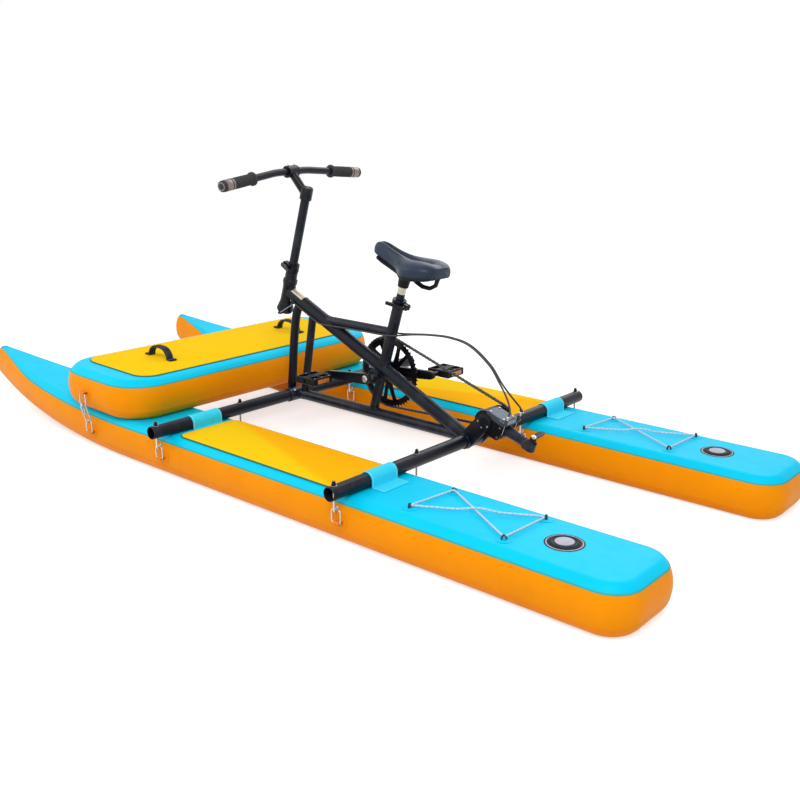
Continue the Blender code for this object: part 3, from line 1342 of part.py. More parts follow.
def drive_leg(leg_axis):
    """The hollow leg that turns in the case to steer, and its inner shaft."""
    face = CASE_REACH + GAP
    collar = [(0.0, 0.0), (JOURNAL_RADIUS, 0.0), (JOURNAL_RADIUS, face - JOURNAL_END),
              (LEG_FLANGE, face - JOURNAL_END), (LEG_FLANGE, face - JOURNAL_END + 0.003)]
    valley = LEG_RADIUS - 0.0016
    for rib in range(LEG_RIBS):
        start = RIB_START + RIB_PITCH * rib
        collar += [(LEG_RADIUS, start), (LEG_RADIUS, start + 0.0030), (valley, start + 0.0038),
                   (valley, start + RIB_PITCH - 0.0008)]
    hub_radius = CHAMBER_RADIUS + HUB_WALL
    neck = HUB_DISTANCE - JOURNAL_END - hub_radius / 2
    collar += [(valley, neck), (0.0, neck)]
    sideways = Matrix.Translation((-JOURNAL_END, 0.0, 0.0)) @ turn_about("Y", math.radians(90))
    tube = turned([(radius, -height) for radius, height in collar], sideways, 14)
    hub = bar((-HUB_DISTANCE, 0.0, -hub_top()), (-HUB_DISTANCE, 0.0, hub_top()), hub_radius, 14)
    horn = block((0.006, 2 * BARREL_Y + 0.007, 0.008), (BARREL_X, 0.0, -HORN_DROP))
    cutters = [
        bar((-JOURNAL_END + 0.01, 0.0, 0.0), (-HUB_DISTANCE, 0.0, 0.0), SHAFT_RADIUS + 0.0015, 10),
        bar((-HUB_DISTANCE, 0.0, -CHAMBER_DEPTH), (-HUB_DISTANCE, 0.0, CHAMBER_DEPTH),
            CHAMBER_RADIUS, 14),
        bar((-HUB_DISTANCE, 0.0, 0.0), (-HUB_DISTANCE, 0.0, 0.03), SHAFT_RADIUS + GAP, 10),
    ]
    leg = carve(fuse([tube, hub, horn]), cutters)
    hide_with(cutters, leg_axis)
    place(leg, "drive_leg", "black_paint", leg_axis)
    inset = BEVEL_FAR - 0.001
    shaft = fuse([bar((-inset, 0.0, 0.0), (inset - HUB_DISTANCE, 0.0, 0.0), SHAFT_RADIUS, 10),
                  bevel_gear((0.0, 0.0, 0.0), (-1.0, 0.0, 0.0)),
                  bevel_gear((-HUB_DISTANCE, 0.0, 0.0), (1.0, 0.0, 0.0))])
    place(shaft, "leg_shaft", "steel", leg_axis)


def blade(side):
    """One propeller blade, twisted a little, from the hub to its tip."""
    stations = ((0.09, 0.011, 0.0048), (0.30, 0.022, 0.0040), (0.55, 0.030, 0.0032),
                (0.80, 0.026, 0.0024), (0.95, 0.016, 0.0018), (1.0, 0.007, 0.0014))
    rings = []
    for share, chord, thick in stations:
        pitch = BLADE_PITCH * (1.15 - 0.4 * share)
        ring = []
        for corner in range(6):
            angle = math.radians(60 * corner)
            u, v = chord / 2 * math.cos(angle), thick / 2 * math.sin(angle)
            ring.append((share * PROPELLER_RADIUS, u * math.cos(pitch) - v * math.sin(pitch),
                         PROPELLER_Z + u * math.sin(pitch) + v * math.cos(pitch)))
        rings.append(ring)
    piece = lofted(rings)
    piece.data.transform(turn_about("Z", 0.0 if side > 0 else math.pi))
    return piece


def propeller(axis):
    """Two blades on a hub, and the short shaft with its bevel gear and nut."""
    foot, top = hub_top() + GAP, PROPELLER_Z + 0.0060
    profile = [(0.0, top), (PROPELLER_HUB_RADIUS - 0.002, top), (PROPELLER_HUB_RADIUS, top - 0.003),
               (PROPELLER_HUB_RADIUS, foot), (0.0, foot)]
    bore = bar((0.0, 0.0, 0.0), (0.0, 0.0, 0.05), SHAFT_RADIUS + GAP, 10)
    screw = carve(fuse([turned(profile, sides=16), blade(1), blade(-1)]), [bore])
    hide_with([bore], axis)
    place(screw, "propeller", "black_plastic", axis)
    shaft = fuse([bar((0.0, 0.0, BEVEL_FAR - 0.001), (0.0, 0.0, top + 0.006), SHAFT_RADIUS, 10),
                  bevel_gear((0.0, 0.0, 0.0), (0.0, 0.0, 1.0)),
                  bar((0.0, 0.0, top + GAP), (0.0, 0.0, top + 0.0045), 0.0072, 6)])
    place(shaft, "propeller_shaft", "steel", axis)


# Steering cables

def cable_point(index, side):
    x, y, z = CABLE_ROUTE[index]
    return Vector((x, side * y, z))


def steering_cable(name, side, drive_axis, leg_axis):
    """A cable from its stop by the head tube to the leg's steering horn.

    Its sheath ends on the barrel of the anchor, and only the thin wire goes
    on, through the barrel and down to the horn.
    """
    lift = drive_axis.matrix_world
    route = [cable_point(index, side) for index in range(len(CABLE_ROUTE))]
    route.append(lift @ Vector((BARREL_X, side * BARREL_Y, BARREL_TOP + 0.012)))
    route.append(lift @ Vector((BARREL_X, side * BARREL_Y, BARREL_TOP + GAP)))
    sheath = smooth_path(route, CABLE_STEP)
    horn = leg_axis.matrix_world @ Vector((BARREL_X, side * BARREL_Y, 0.004 - HORN_DROP + GAP))
    wire = [lift @ Vector((BARREL_X, side * BARREL_Y, BARREL_TOP + GAP / 3)),
            lift @ Vector((BARREL_X, side * BARREL_Y, ANCHOR_Z - 0.001)), horn]
    thin = WIRE_RADIUS / CABLE_RADIUS
    radii = [1.0] * len(sheath) + [thin] * len(wire)
    place(pipe(sheath + wire, CABLE_RADIUS, 1, radii=radii), name, "black_plastic",
          frame_at(name + "_frame", (0.0, 0.0, 0.0)))


hulls_and_beams()
bow_board()
main_frame()
spring_button()
steering()
seat()
pedal_drive()
drive_frame, leg_frame = tilting_drive()
steering_cable("port_steering_cable", 1, drive_frame, leg_frame)
steering_cable("starboard_steering_cable", -1, drive_frame, leg_frame)
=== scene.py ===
"""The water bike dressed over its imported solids: inflated hulls, cross board, frame, saddle, steering and drive."""

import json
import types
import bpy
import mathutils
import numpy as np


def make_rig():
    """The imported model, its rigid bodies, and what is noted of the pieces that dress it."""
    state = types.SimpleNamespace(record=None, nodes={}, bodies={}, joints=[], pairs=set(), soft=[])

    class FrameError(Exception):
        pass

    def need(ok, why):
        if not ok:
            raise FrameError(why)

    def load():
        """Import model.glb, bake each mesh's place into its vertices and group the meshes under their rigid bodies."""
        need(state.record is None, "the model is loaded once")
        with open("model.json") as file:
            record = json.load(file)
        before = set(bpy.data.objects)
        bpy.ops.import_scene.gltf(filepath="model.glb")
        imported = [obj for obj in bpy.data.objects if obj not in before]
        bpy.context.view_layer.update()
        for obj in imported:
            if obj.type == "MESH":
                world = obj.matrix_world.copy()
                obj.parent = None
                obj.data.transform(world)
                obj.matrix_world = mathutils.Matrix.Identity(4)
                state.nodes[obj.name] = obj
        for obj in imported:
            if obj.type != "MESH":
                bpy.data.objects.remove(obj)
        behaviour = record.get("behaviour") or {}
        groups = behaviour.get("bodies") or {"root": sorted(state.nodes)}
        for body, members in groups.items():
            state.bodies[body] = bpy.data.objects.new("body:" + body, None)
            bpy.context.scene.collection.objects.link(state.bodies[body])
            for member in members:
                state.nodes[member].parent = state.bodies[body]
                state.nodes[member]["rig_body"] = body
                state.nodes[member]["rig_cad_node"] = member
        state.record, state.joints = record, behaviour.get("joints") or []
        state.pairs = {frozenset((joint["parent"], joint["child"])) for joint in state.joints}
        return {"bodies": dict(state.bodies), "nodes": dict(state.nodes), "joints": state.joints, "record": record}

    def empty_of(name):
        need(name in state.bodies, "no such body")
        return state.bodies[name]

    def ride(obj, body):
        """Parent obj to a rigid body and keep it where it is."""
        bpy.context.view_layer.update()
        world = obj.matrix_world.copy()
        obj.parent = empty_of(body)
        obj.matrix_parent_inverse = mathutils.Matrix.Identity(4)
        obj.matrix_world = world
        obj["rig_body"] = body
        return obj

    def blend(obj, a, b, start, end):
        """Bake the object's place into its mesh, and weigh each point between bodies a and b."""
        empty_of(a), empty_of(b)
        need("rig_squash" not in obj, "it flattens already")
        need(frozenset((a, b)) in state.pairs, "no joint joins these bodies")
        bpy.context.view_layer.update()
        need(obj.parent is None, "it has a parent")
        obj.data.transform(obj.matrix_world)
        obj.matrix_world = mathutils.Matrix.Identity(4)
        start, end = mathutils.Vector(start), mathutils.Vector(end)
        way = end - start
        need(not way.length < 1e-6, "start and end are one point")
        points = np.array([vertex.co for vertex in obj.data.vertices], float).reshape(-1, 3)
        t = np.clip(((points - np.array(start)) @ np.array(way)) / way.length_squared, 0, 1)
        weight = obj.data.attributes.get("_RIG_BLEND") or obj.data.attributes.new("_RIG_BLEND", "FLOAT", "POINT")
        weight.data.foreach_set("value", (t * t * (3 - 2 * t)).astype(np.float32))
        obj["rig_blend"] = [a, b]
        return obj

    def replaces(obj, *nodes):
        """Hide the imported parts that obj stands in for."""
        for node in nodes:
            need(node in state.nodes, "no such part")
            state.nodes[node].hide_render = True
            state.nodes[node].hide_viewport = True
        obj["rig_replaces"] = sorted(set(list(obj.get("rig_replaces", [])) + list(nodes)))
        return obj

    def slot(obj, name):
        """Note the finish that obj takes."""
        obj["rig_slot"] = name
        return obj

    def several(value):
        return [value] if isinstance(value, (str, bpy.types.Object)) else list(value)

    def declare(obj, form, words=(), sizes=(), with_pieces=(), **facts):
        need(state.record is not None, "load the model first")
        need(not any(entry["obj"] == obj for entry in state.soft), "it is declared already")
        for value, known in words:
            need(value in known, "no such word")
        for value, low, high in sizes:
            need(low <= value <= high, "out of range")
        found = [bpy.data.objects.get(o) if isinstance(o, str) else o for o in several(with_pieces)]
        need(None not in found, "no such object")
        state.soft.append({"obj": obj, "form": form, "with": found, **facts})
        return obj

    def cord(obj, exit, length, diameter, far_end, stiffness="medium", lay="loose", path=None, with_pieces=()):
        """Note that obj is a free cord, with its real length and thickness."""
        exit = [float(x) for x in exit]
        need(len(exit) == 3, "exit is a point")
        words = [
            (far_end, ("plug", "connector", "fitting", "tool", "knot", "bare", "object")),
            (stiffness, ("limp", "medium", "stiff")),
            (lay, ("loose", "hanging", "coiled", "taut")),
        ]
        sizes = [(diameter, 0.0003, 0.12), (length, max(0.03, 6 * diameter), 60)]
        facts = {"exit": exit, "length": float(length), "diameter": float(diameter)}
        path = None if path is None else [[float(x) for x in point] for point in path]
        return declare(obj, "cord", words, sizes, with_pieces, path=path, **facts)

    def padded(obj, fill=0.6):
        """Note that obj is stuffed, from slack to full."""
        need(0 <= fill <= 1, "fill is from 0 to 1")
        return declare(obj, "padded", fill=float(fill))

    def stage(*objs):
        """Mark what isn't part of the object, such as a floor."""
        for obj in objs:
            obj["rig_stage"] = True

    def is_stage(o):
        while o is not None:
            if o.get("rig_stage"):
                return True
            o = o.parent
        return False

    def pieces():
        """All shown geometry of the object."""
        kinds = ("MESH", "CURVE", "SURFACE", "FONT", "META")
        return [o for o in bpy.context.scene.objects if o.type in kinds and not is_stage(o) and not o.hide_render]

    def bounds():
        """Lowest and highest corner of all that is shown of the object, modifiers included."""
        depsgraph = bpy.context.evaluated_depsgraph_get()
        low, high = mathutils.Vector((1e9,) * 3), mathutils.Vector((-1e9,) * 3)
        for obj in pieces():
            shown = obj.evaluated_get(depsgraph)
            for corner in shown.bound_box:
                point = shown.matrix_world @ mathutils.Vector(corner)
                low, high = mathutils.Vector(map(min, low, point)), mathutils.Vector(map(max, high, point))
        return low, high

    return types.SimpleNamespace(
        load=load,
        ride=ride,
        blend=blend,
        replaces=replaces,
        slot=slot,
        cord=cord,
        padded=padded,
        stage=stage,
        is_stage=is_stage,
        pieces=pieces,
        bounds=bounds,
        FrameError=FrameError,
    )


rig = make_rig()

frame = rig.load()

import json
import logging
from dataclasses import dataclass, field
from enum import Enum
from math import acos, atan2, cos, degrees, exp, floor, hypot, pi, radians, sin, sqrt, tan
from typing import Callable, Iterable, Sequence

import bmesh
import bpy
from mathutils import Matrix, Vector

CAD_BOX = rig.bounds()
LOG = logging.getLogger("water_bike")
Colour = tuple[float, float, float]
Outline = list[tuple[float, float]]
Socket = bpy.types.NodeSocket
Piece = bpy.types.Object


class Named(Enum):
    """A choice whose name goes into the names of pieces."""

    @property
    def word(self) -> str:
        """The choice's name in small letters."""
        return self.name.lower()


class Side(Named):
    """The two sides of the craft, with the sign of their Y."""

    PORT = 1
    STARBOARD = -1


class Hand(Named):
    """The rider's two sides, with the sign of their Y."""

    LEFT = 1
    RIGHT = -1


def paint_code(*channels: float) -> Colour:
    """A colour in the linear values that a shader takes.

    Args:
        *channels: Its red, green and blue, from 0 to 255.

    Returns:
        The same colour in linear light.
    """
    shares = (channel / 255 for channel in channels)
    return tuple(share / 12.92 if share <= 0.04045 else ((share + 0.055) / 1.055) ** 2.4 for share in shares)


# Points and paths


def arc(centre: tuple[float, float], radius: float, start: float, end: float, steps: int) -> Outline:
    """Points on an arc in a plane, from one angle in degrees to another.

    Args:
        centre: The arc's centre.
        radius: Its radius.
        start: The first angle.
        end: The last angle.
        steps: How many steps lie between them.

    Returns:
        The points, both ends included.
    """
    angles = [radians(start + (end - start) * step / steps) for step in range(steps + 1)]
    return [(centre[0] + radius * cos(a), centre[1] + radius * sin(a)) for a in angles]


def rounded_rectangle(length: float, width: float, corner: float, steps: int = 8) -> Outline:
    """The outline of a rectangle with round corners, about the origin.

    Args:
        length: Its size along the first axis.
        width: Its size along the second axis.
        corner: The corner radius.
        steps: How many steps round each corner.

    Returns:
        The outline's points, anticlockwise.
    """
    u, v = length / 2 - corner, width / 2 - corner
    return (arc((u, v), corner, 0, 90, steps) + arc((-u, v), corner, 90, 180, steps)
            + arc((-u, -v), corner, 180, 270, steps) + arc((u, -v), corner, 270, 360, steps))


def band_outline(first: Vector, first_radius: float, second: Vector, second_radius: float, steps: int = 24) -> Outline:
    """The outline of a band stretched round two circles.

    Args:
        first: The first circle's centre.
        first_radius: Its radius.
        second: The second circle's centre.
        second_radius: Its radius.
        steps: How many steps round each circle.

    Returns:
        The outline's points.
    """
    across = second - first
    facing = degrees(atan2(across.y, across.x))
    spread = degrees(acos((first_radius - second_radius) / across.length))
    return (arc(tuple(second), second_radius, facing - spread, facing + spread, steps)
            + arc(tuple(first), first_radius, facing + spread, facing + 360 - spread, steps))


def smooth_path(points: Iterable[Sequence[float]], step: float) -> list[Vector]:
    """Points about one step apart on a smooth curve through the given ones.

    Args:
        points: The points that the curve passes through.
        step: The distance between the new points.

    Returns:
        The new points.
    """
    knots = [Vector(point) for point in points]
    knots = [2 * knots[0] - knots[1], *knots, 2 * knots[-1] - knots[-2]]
    path = []
    for before, start, end, after in zip(knots, knots[1:], knots[2:], knots[3:]):
        pieces = max(1, round((end - start).length / step))
        for piece in range(pieces):
            t = piece / pieces
            path.append(0.5 * (2 * start + (end - before) * t + (2 * before - 5 * start + 4 * end - after) * t ** 2
                               + (3 * start - before - 3 * end + after) * t ** 3))
    path.append(knots[-2])
    return path


def path_length(path: Sequence[Vector]) -> float:
    """The length of a chain of points."""
    return sum((b - a).length for a, b in zip(path, path[1:]))


def at(x: float, y: float, z: float) -> Vector:
    """A point or a direction."""
    return Vector((x, y, z))


def mm(*pairs: tuple[float, float]) -> Outline:
    """Pairs of radius and height, given in millimetres."""
    return [(radius / 1000, height / 1000) for radius, height in pairs]


def round_angles(count: int) -> list[float]:
    """Angles spread evenly round a circle, in radians."""
    return [2 * pi * step / count for step in range(count)]


def turn(axis: str, angle: float) -> Matrix:
    """A turn about a world axis, as a 4 by 4 matrix."""
    return Matrix.Rotation(angle, 4, axis)


def moved(x: float, y: float, z: float) -> Matrix:
    """A shift, as a 4 by 4 matrix."""
    return Matrix.Translation((x, y, z))


def aimed(start: Vector, along: Vector) -> Matrix:
    """A frame at a point whose Z runs along a direction."""
    return Matrix.Translation(start) @ along.to_track_quat("Z", "Y").to_matrix().to_4x4()


def leaning(angle: float) -> Vector:
    """The direction that leans aft from straight up by an angle."""
    return at(-sin(angle), 0, cos(angle))


# Directions, and the places that more than one sub-assembly uses, in metres

AHEAD, TO_PORT, UP = at(1, 0, 0), at(0, 1, 0), at(0, 0, 1)
UPRIGHT = turn("X", radians(90))
GAP = 0.0003
BEAM_X, BEAM_Z = (0.164, -0.55), 0.1443
HULL_Y, CLIP_X, BOARD_X = 0.405, 0.53, 0.511
HEAD_FOOT = at(0.2156, 0, 0.415)
SEAT_TOP, SEAT_LEAN = at(-0.276, 0, 0.508), radians(16.1)
SHELL, DRIVE = (-0.198, 0.268), (-0.61, 0.212)


# Meshes


class Shape:
    """A mesh under construction, with UVs in metres and a finish number on each face."""

    def __init__(self) -> None:
        """Start with an empty mesh."""
        self.points: list[Vector] = []
        self.faces: list[list[int]] = []
        self.corners: list[list[tuple[float, float]]] = []
        self.finishes: list[int] = []

    def grid(self, rows: Sequence[Sequence[Vector]], wrap: bool = False, close: bool = False,
             finish: int | Callable[[int, int], int] = 0, placing: Matrix | None = None) -> list[list[int]]:
        """Add a sheet of quads through rows of points.

        Args:
            rows: The rows, each with the same number of points.
            wrap: Whether each row closes on itself.
            close: Whether the last row joins the first.
            finish: The finish number, or a function of the row and column.
            placing: Where the points go.

        Returns:
            The indices of the added points, row by row.
        """
        placing = placing or Matrix()
        index = []
        for row in rows:
            index.append(list(range(len(self.points), len(self.points) + len(row))))
            self.points += [placing @ point for point in row]
        across, along = distances(rows[len(rows) // 2]), distances([row[0] for row in rows])
        columns = len(rows[0]) if wrap else len(rows[0]) - 1
        for i in range(len(rows) if close else len(rows) - 1):
            low, high = index[i], index[(i + 1) % len(rows)]
            for j in range(columns):
                k = (j + 1) % len(rows[0])
                self.faces.append([low[j], low[k], high[k], high[j]])
                self.corners.append([(across[j], along[i]), (across[j + 1], along[i]),
                                     (across[j + 1], along[i + 1]), (across[j], along[i + 1])])
                self.finishes.append(finish(i, j) if callable(finish) else finish)
        return index

    def cap(self, ring: Sequence[int], finish: int = 0) -> None:
        """Close a ring of point indices with one face.

        Args:
            ring: The indices.
            finish: The finish number.
        """
        self.faces.append(list(ring))
        self.corners.append([(self.points[i].x, self.points[i].y) for i in ring])
        self.finishes.append(finish)

    def loft(self, rings: Sequence[Sequence[Vector]], finish: int = 0, placing: Matrix | None = None) -> None:
        """Add a closed form through rings of points, with a face on both ends.

        Args:
            rings: The rings, each with the same number of points.
            finish: The finish number.
            placing: Where the points go.
        """
        index = self.grid(rings, wrap=True, finish=finish, placing=placing)
        self.cap(index[0][::-1], finish)
        self.cap(index[-1], finish)

    def tube(self, path: Sequence[Vector], radius: float | Sequence[float], sides: int = 16,
             closed: bool = False, finish: int = 0) -> None:
        """Add a round tube along a path, with capped ends.

        Args:
            path: The points of its centre line.
            radius: Its radius, or one for each point.
            sides: How many sides it has.
            closed: Whether it closes on itself.
            finish: The finish number.
        """
        count = len(path)
        radii = [radius] * count if isinstance(radius, float) else radius
        tangents = []
        for i in range(count):
            before = path[i - 1] if i or closed else path[0]
            after = path[(i + 1) % count] if i < count - 1 or closed else path[-1]
            tangents.append((after - before).normalized())
        side = tangents[0].orthogonal().normalized()
        rings = []
        for point, along, size in zip(path, tangents, radii):
            side = (side - along * side.dot(along)).normalized()
            up = along.cross(side)
            rings.append([point + size * (cos(a) * side + sin(a) * up) for a in round_angles(sides)])
        if closed:
            self.grid(rings, wrap=True, close=True, finish=finish)
        else:
            self.loft(rings, finish)

    def turned(self, profile: Outline, placing: Matrix | None = None, sides: int = 32, finish: int = 0) -> None:
        """Add a turned form from radii and heights; a radius of zero closes it.

        Args:
            profile: Pairs of radius and height.
            placing: Where the axis goes.
            sides: How many sides it has.
            finish: The finish number.
        """
        rings = [[at(r * cos(a), r * sin(a), h) for a in round_angles(sides)] for r, h in profile if r > 0]
        index = self.grid(rings, wrap=True, finish=finish, placing=placing)
        if profile[0][0] == 0:
            self.cap(index[0][::-1], finish)
        if profile[-1][0] == 0:
            self.cap(index[-1], finish)

    def plate(self, outline: Outline, thickness: float, placing: Matrix | None = None,
              edge: float = 0.0006, finish: int = 0) -> None:
        """Add a flat plate with softened edges, centred on its own plane.

        Args:
            outline: The plate's outline.
            thickness: Its thickness.
            placing: Where its plane goes.
            edge: The radius of its edges.
            finish: The finish number.
        """
        half = thickness / 2
        edge = min(edge, half * 0.98)
        inner, middle = drawn_in(outline, edge), drawn_in(outline, edge * 0.3)
        levels = ((inner, -half), (middle, -half + edge * 0.3), (outline, -half + edge),
                  (outline, half - edge), (middle, half - edge * 0.3), (inner, half))
        self.loft([[at(u, v, height) for u, v in line] for line, height in levels], finish, placing)

    def strip(self, line: Sequence[Vector], across: Vector, width: float, thickness: float, finish: int = 0) -> None:
        """Add a flat strap whose middle follows a line.

        Args:
            line: The points of its centre line.
            across: The direction of its width.
            width: Its width.
            thickness: Its thickness.
            finish: The finish number.
        """
        across = across.normalized()
        half, thin = width / 2, thickness / 2
        edge = thin * 0.4
        section = [(-half, -edge), (-half + edge, -thin), (0, -thin), (half - edge, -thin), (half, -edge),
                   (half, edge), (half - edge, thin), (0, thin), (-half + edge, thin), (-half, edge)]
        rings = []
        for point, along in zip(line, directions(line)):
            up = across.cross(along).normalized()
            rings.append([point + across * u + up * v for u, v in section])
        self.loft(rings, finish)

    def piece(self, name: str, body: str | None, *finishes: "Finish", stands_for: str | None = None,
              slot: str | None = None, placing: Matrix | None = None, sharp: float = 38.0) -> Piece:
        """Make the object.

        Args:
            name: The piece's name.
            body: The body that it rides, or None where it is blended.
            *finishes: Its finishes, in the order of their numbers.
            stands_for: The solid that it stands for.
            slot: The record's material slot that it takes its finish from.
            placing: A matrix for all of its points.
            sharp: The angle in degrees above which an edge stays sharp.

        Returns:
            The new object.
        """
        mesh = bpy.data.meshes.new(name)
        points = [placing @ p for p in self.points] if placing else self.points
        mesh.from_pydata([tuple(p) for p in points], [], self.faces)
        flat = [value for corner in self.corners for uv in corner for value in uv]
        mesh.uv_layers.new(name="metres").data.foreach_set("uv", flat)
        mesh.polygons.foreach_set("material_index", self.finishes)
        for finish in finishes:
            mesh.materials.append(finish.material())
        solid = bmesh.new()
        solid.from_mesh(mesh)
        bmesh.ops.recalc_face_normals(solid, faces=solid.faces)
        solid.to_mesh(mesh)
        solid.free()
        piece = smooth_object(name, mesh, sharp)
        if slot:
            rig.slot(piece, slot)
        if stands_for:
            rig.replaces(piece, stands_for)
        if body:
            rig.ride(piece, body)
        return piece


def distances(ring: Sequence[Vector]) -> list[float]:
    """How far each point of a closed ring is from the first one, along the ring.

    Args:
        ring: The ring's points.

    Returns:
        The distances, and at their end the ring's whole length.
    """
    gone = [0.0]
    for a, b in zip(ring, [*ring[1:], ring[0]]):
        gone.append(gone[-1] + (b - a).length)
    return gone


def directions(line: Sequence[Vector]) -> list[Vector]:
    """The direction of an open line at each of its points."""
    ends = [line[0], *line, line[-1]]
    return [(after - before).normalized() for before, after in zip(ends, ends[2:])]


def placed(name: str, data: bpy.types.ID) -> Piece:
    """Put data into the scene as an object.

    Args:
        name: The object's name.
        data: Its mesh, curve, camera or lamp.

    Returns:
        The object.
    """
    made = bpy.data.objects.new(name, data)
    bpy.context.scene.collection.objects.link(made)
    return made


def smooth_object(name: str, mesh: bpy.types.Mesh, sharp: float) -> Piece:
    """Put a mesh into the scene with smooth faces.

    Args:
        name: The object's name.
        mesh: Its mesh.
        sharp: The angle in degrees above which an edge stays sharp.

    Returns:
        The object.
    """
    mesh.polygons.foreach_set("use_smooth", [True] * len(mesh.polygons))
    mesh.set_sharp_from_angle(angle=radians(sharp))
    mesh.update()
    return placed(name, mesh)


def drawn_in(outline: Outline, distance: float) -> Outline:
    """An outline moved inward.

    Args:
        outline: The points of the closed outline.
        distance: How far to move it.

    Returns:
        The moved points.
    """
    following = [*outline[1:], outline[0]]
    area = sum(a[0] * b[1] - b[0] * a[1] for a, b in zip(outline, following))
    distance = distance if area > 0 else -distance
    moved_points = []
    for before, point, after in zip([outline[-1], *outline], outline, following):
        along = (Vector(after) - Vector(before)).normalized()
        moved_points.append((point[0] - along.y * distance, point[1] + along.x * distance))
    return moved_points


def dress(node: str, finish: "Finish", width: float = 0.0008) -> None:
    """Give a solid that is shown as it is its finish and softened edges.

    Args:
        node: The solid's name.
        finish: Its finish.
        width: The width of its softened edges.
    """
    piece = frame["nodes"][node]
    piece.modifiers.new("weld", "WELD").merge_threshold = 0.00002
    bevel = piece.modifiers.new("edges", "BEVEL")
    bevel.width, bevel.segments = width, 2
    bevel.limit_method, bevel.angle_limit = "ANGLE", radians(40)
    bevel.use_clamp_overlap, bevel.miter_outer = True, "MITER_ARC"
    piece.modifiers.new("shading", "WEIGHTED_NORMAL").keep_sharp = False
    piece.data.materials.clear()
    piece.data.materials.append(finish.material())


# Finishes


class Nodes:
    """The shader nodes of a material or a world, with short calls that add and link them."""

    def __init__(self, owner: bpy.types.ID) -> None:
        """Take the owner's tree."""
        owner.use_nodes = True
        self.tree = owner.node_tree

    def node(self, kind: str, **settings: object) -> bpy.types.Node:
        """Add a node.

        Args:
            kind: Blender's name for its type.
            **settings: Values for its properties.

        Returns:
            The node.
        """
        made = self.tree.nodes.new(kind)
        for name, value in settings.items():
            setattr(made, name, value)
        return made

    def feed(self, made: bpy.types.Node, **inputs: object) -> bpy.types.Node:
        """Link or set a node's inputs.

        Args:
            made: The node.
            **inputs: Sockets or values by input name, or by `i` and its number.

        Returns:
            The same node.
        """
        for name, value in inputs.items():
            numbered = name[0] == "i" and name[1:].isdigit()
            socket = made.inputs[int(name[1:]) if numbered else name.replace("_", " ")]
            if isinstance(value, Socket):
                self.tree.links.new(value, socket)
            else:
                socket.default_value = (*value, 1) if socket.type == "RGBA" else value
        return made

    def sum(self, operation: str, first: object, second: object = 0.0, third: object = 0.0) -> Socket:
        """A calculation with up to three values."""
        made = self.node("ShaderNodeMath", operation=operation)
        return self.feed(made, i0=first, i1=second, i2=third).outputs["Value"]


class Pen(Nodes):
    """A new material's nodes, with short calls for the textures that the finishes use."""

    def __init__(self, name: str) -> None:
        """Make the material.

        Args:
            name: Its name.
        """
        super().__init__(bpy.data.materials.new(name))
        self.place = self.node("ShaderNodeTexCoord").outputs["Object"]
        self.metres = self.node("ShaderNodeUVMap", uv_map="metres").outputs["UV"]

    def noise(self, scale: float, detail: float = 3.0, vector: Socket | None = None, roughness: float = 0.5) -> Socket:
        """Soft random values."""
        made = self.feed(self.node("ShaderNodeTexNoise"), Vector=vector or self.place, Scale=scale)
        return self.feed(made, Detail=detail, Roughness=roughness).outputs["Fac"]

    def cells(self, scale: float, feature: str = "F1") -> Socket:
        """Distances to scattered points."""
        made = self.node("ShaderNodeTexVoronoi", feature=feature)
        return self.feed(made, Vector=self.place, Scale=scale).outputs["Distance"]

    def stretched(self, factors: Sequence[float]) -> Socket:
        """Coordinates scaled by axis."""
        made = self.node("ShaderNodeVectorMath", operation="MULTIPLY")
        return self.feed(made, i0=self.place, i1=factors).outputs["Vector"]

    def axis(self, which: str, vector: Socket | None = None) -> Socket:
        """One coordinate."""
        return self.feed(self.node("ShaderNodeSeparateXYZ"), i0=vector or self.place).outputs[which]

    def ramp(self, value: Socket, *stops: tuple[float, float]) -> Socket:
        """A value turned into a grey.

        Args:
            value: The value.
            *stops: The two places on its scale and the greys there.

        Returns:
            The grey.
        """
        made = self.node("ShaderNodeValToRGB")
        for element, (position, grey) in zip(made.color_ramp.elements, stops):
            element.position, element.color = position, (grey, grey, grey, 1)
        return self.feed(made, Fac=value).outputs["Color"]

    def mix(self, share: Socket, first: Socket | Colour, second: Socket | Colour) -> Socket:
        """Two colours mixed by a share."""
        made = self.node("ShaderNodeMix", data_type="RGBA")
        return self.feed(made, i0=share, i6=first, i7=second).outputs[2]

    def waves(self, value: Socket, pitch: float) -> Socket:
        """A sine from 0 to 1 along a coordinate, once for each pitch."""
        angle = self.sum("MULTIPLY", value, 2 * pi / pitch)
        return self.sum("MULTIPLY_ADD", self.sum("SINE", angle), 0.5, 0.5)

    def bump(self, height: Socket, distance: float, strength: float = 1.0, **under: Socket) -> Socket:
        """A surface raised by a height, over another one given as Normal."""
        made = self.node("ShaderNodeBump")
        return self.feed(made, Height=height, Distance=distance, Strength=strength, **under).outputs["Normal"]

    def finish(self, **inputs: object) -> None:
        """Link or set the shader's own inputs."""
        self.feed(self.tree.nodes["Principled BSDF"], **inputs)


@dataclass(frozen=True)
class Finish:
    """A named finish that makes its material once."""

    name: str
    colour: Colour
    roughness: float = 0.5

    def material(self) -> bpy.types.Material:
        """The finish's material, made on its first use.

        Returns:
            The material.
        """
        if self.name not in bpy.data.materials:
            self.paint(Pen(self.name))
        return bpy.data.materials[self.name]

    def shade(self, factor: float) -> Colour:
        """The colour made darker or lighter."""
        return tuple(min(1, c * factor) for c in self.colour)

    def paint(self, pen: Pen) -> None:
        """Fill the material's nodes."""
        raise NotImplementedError


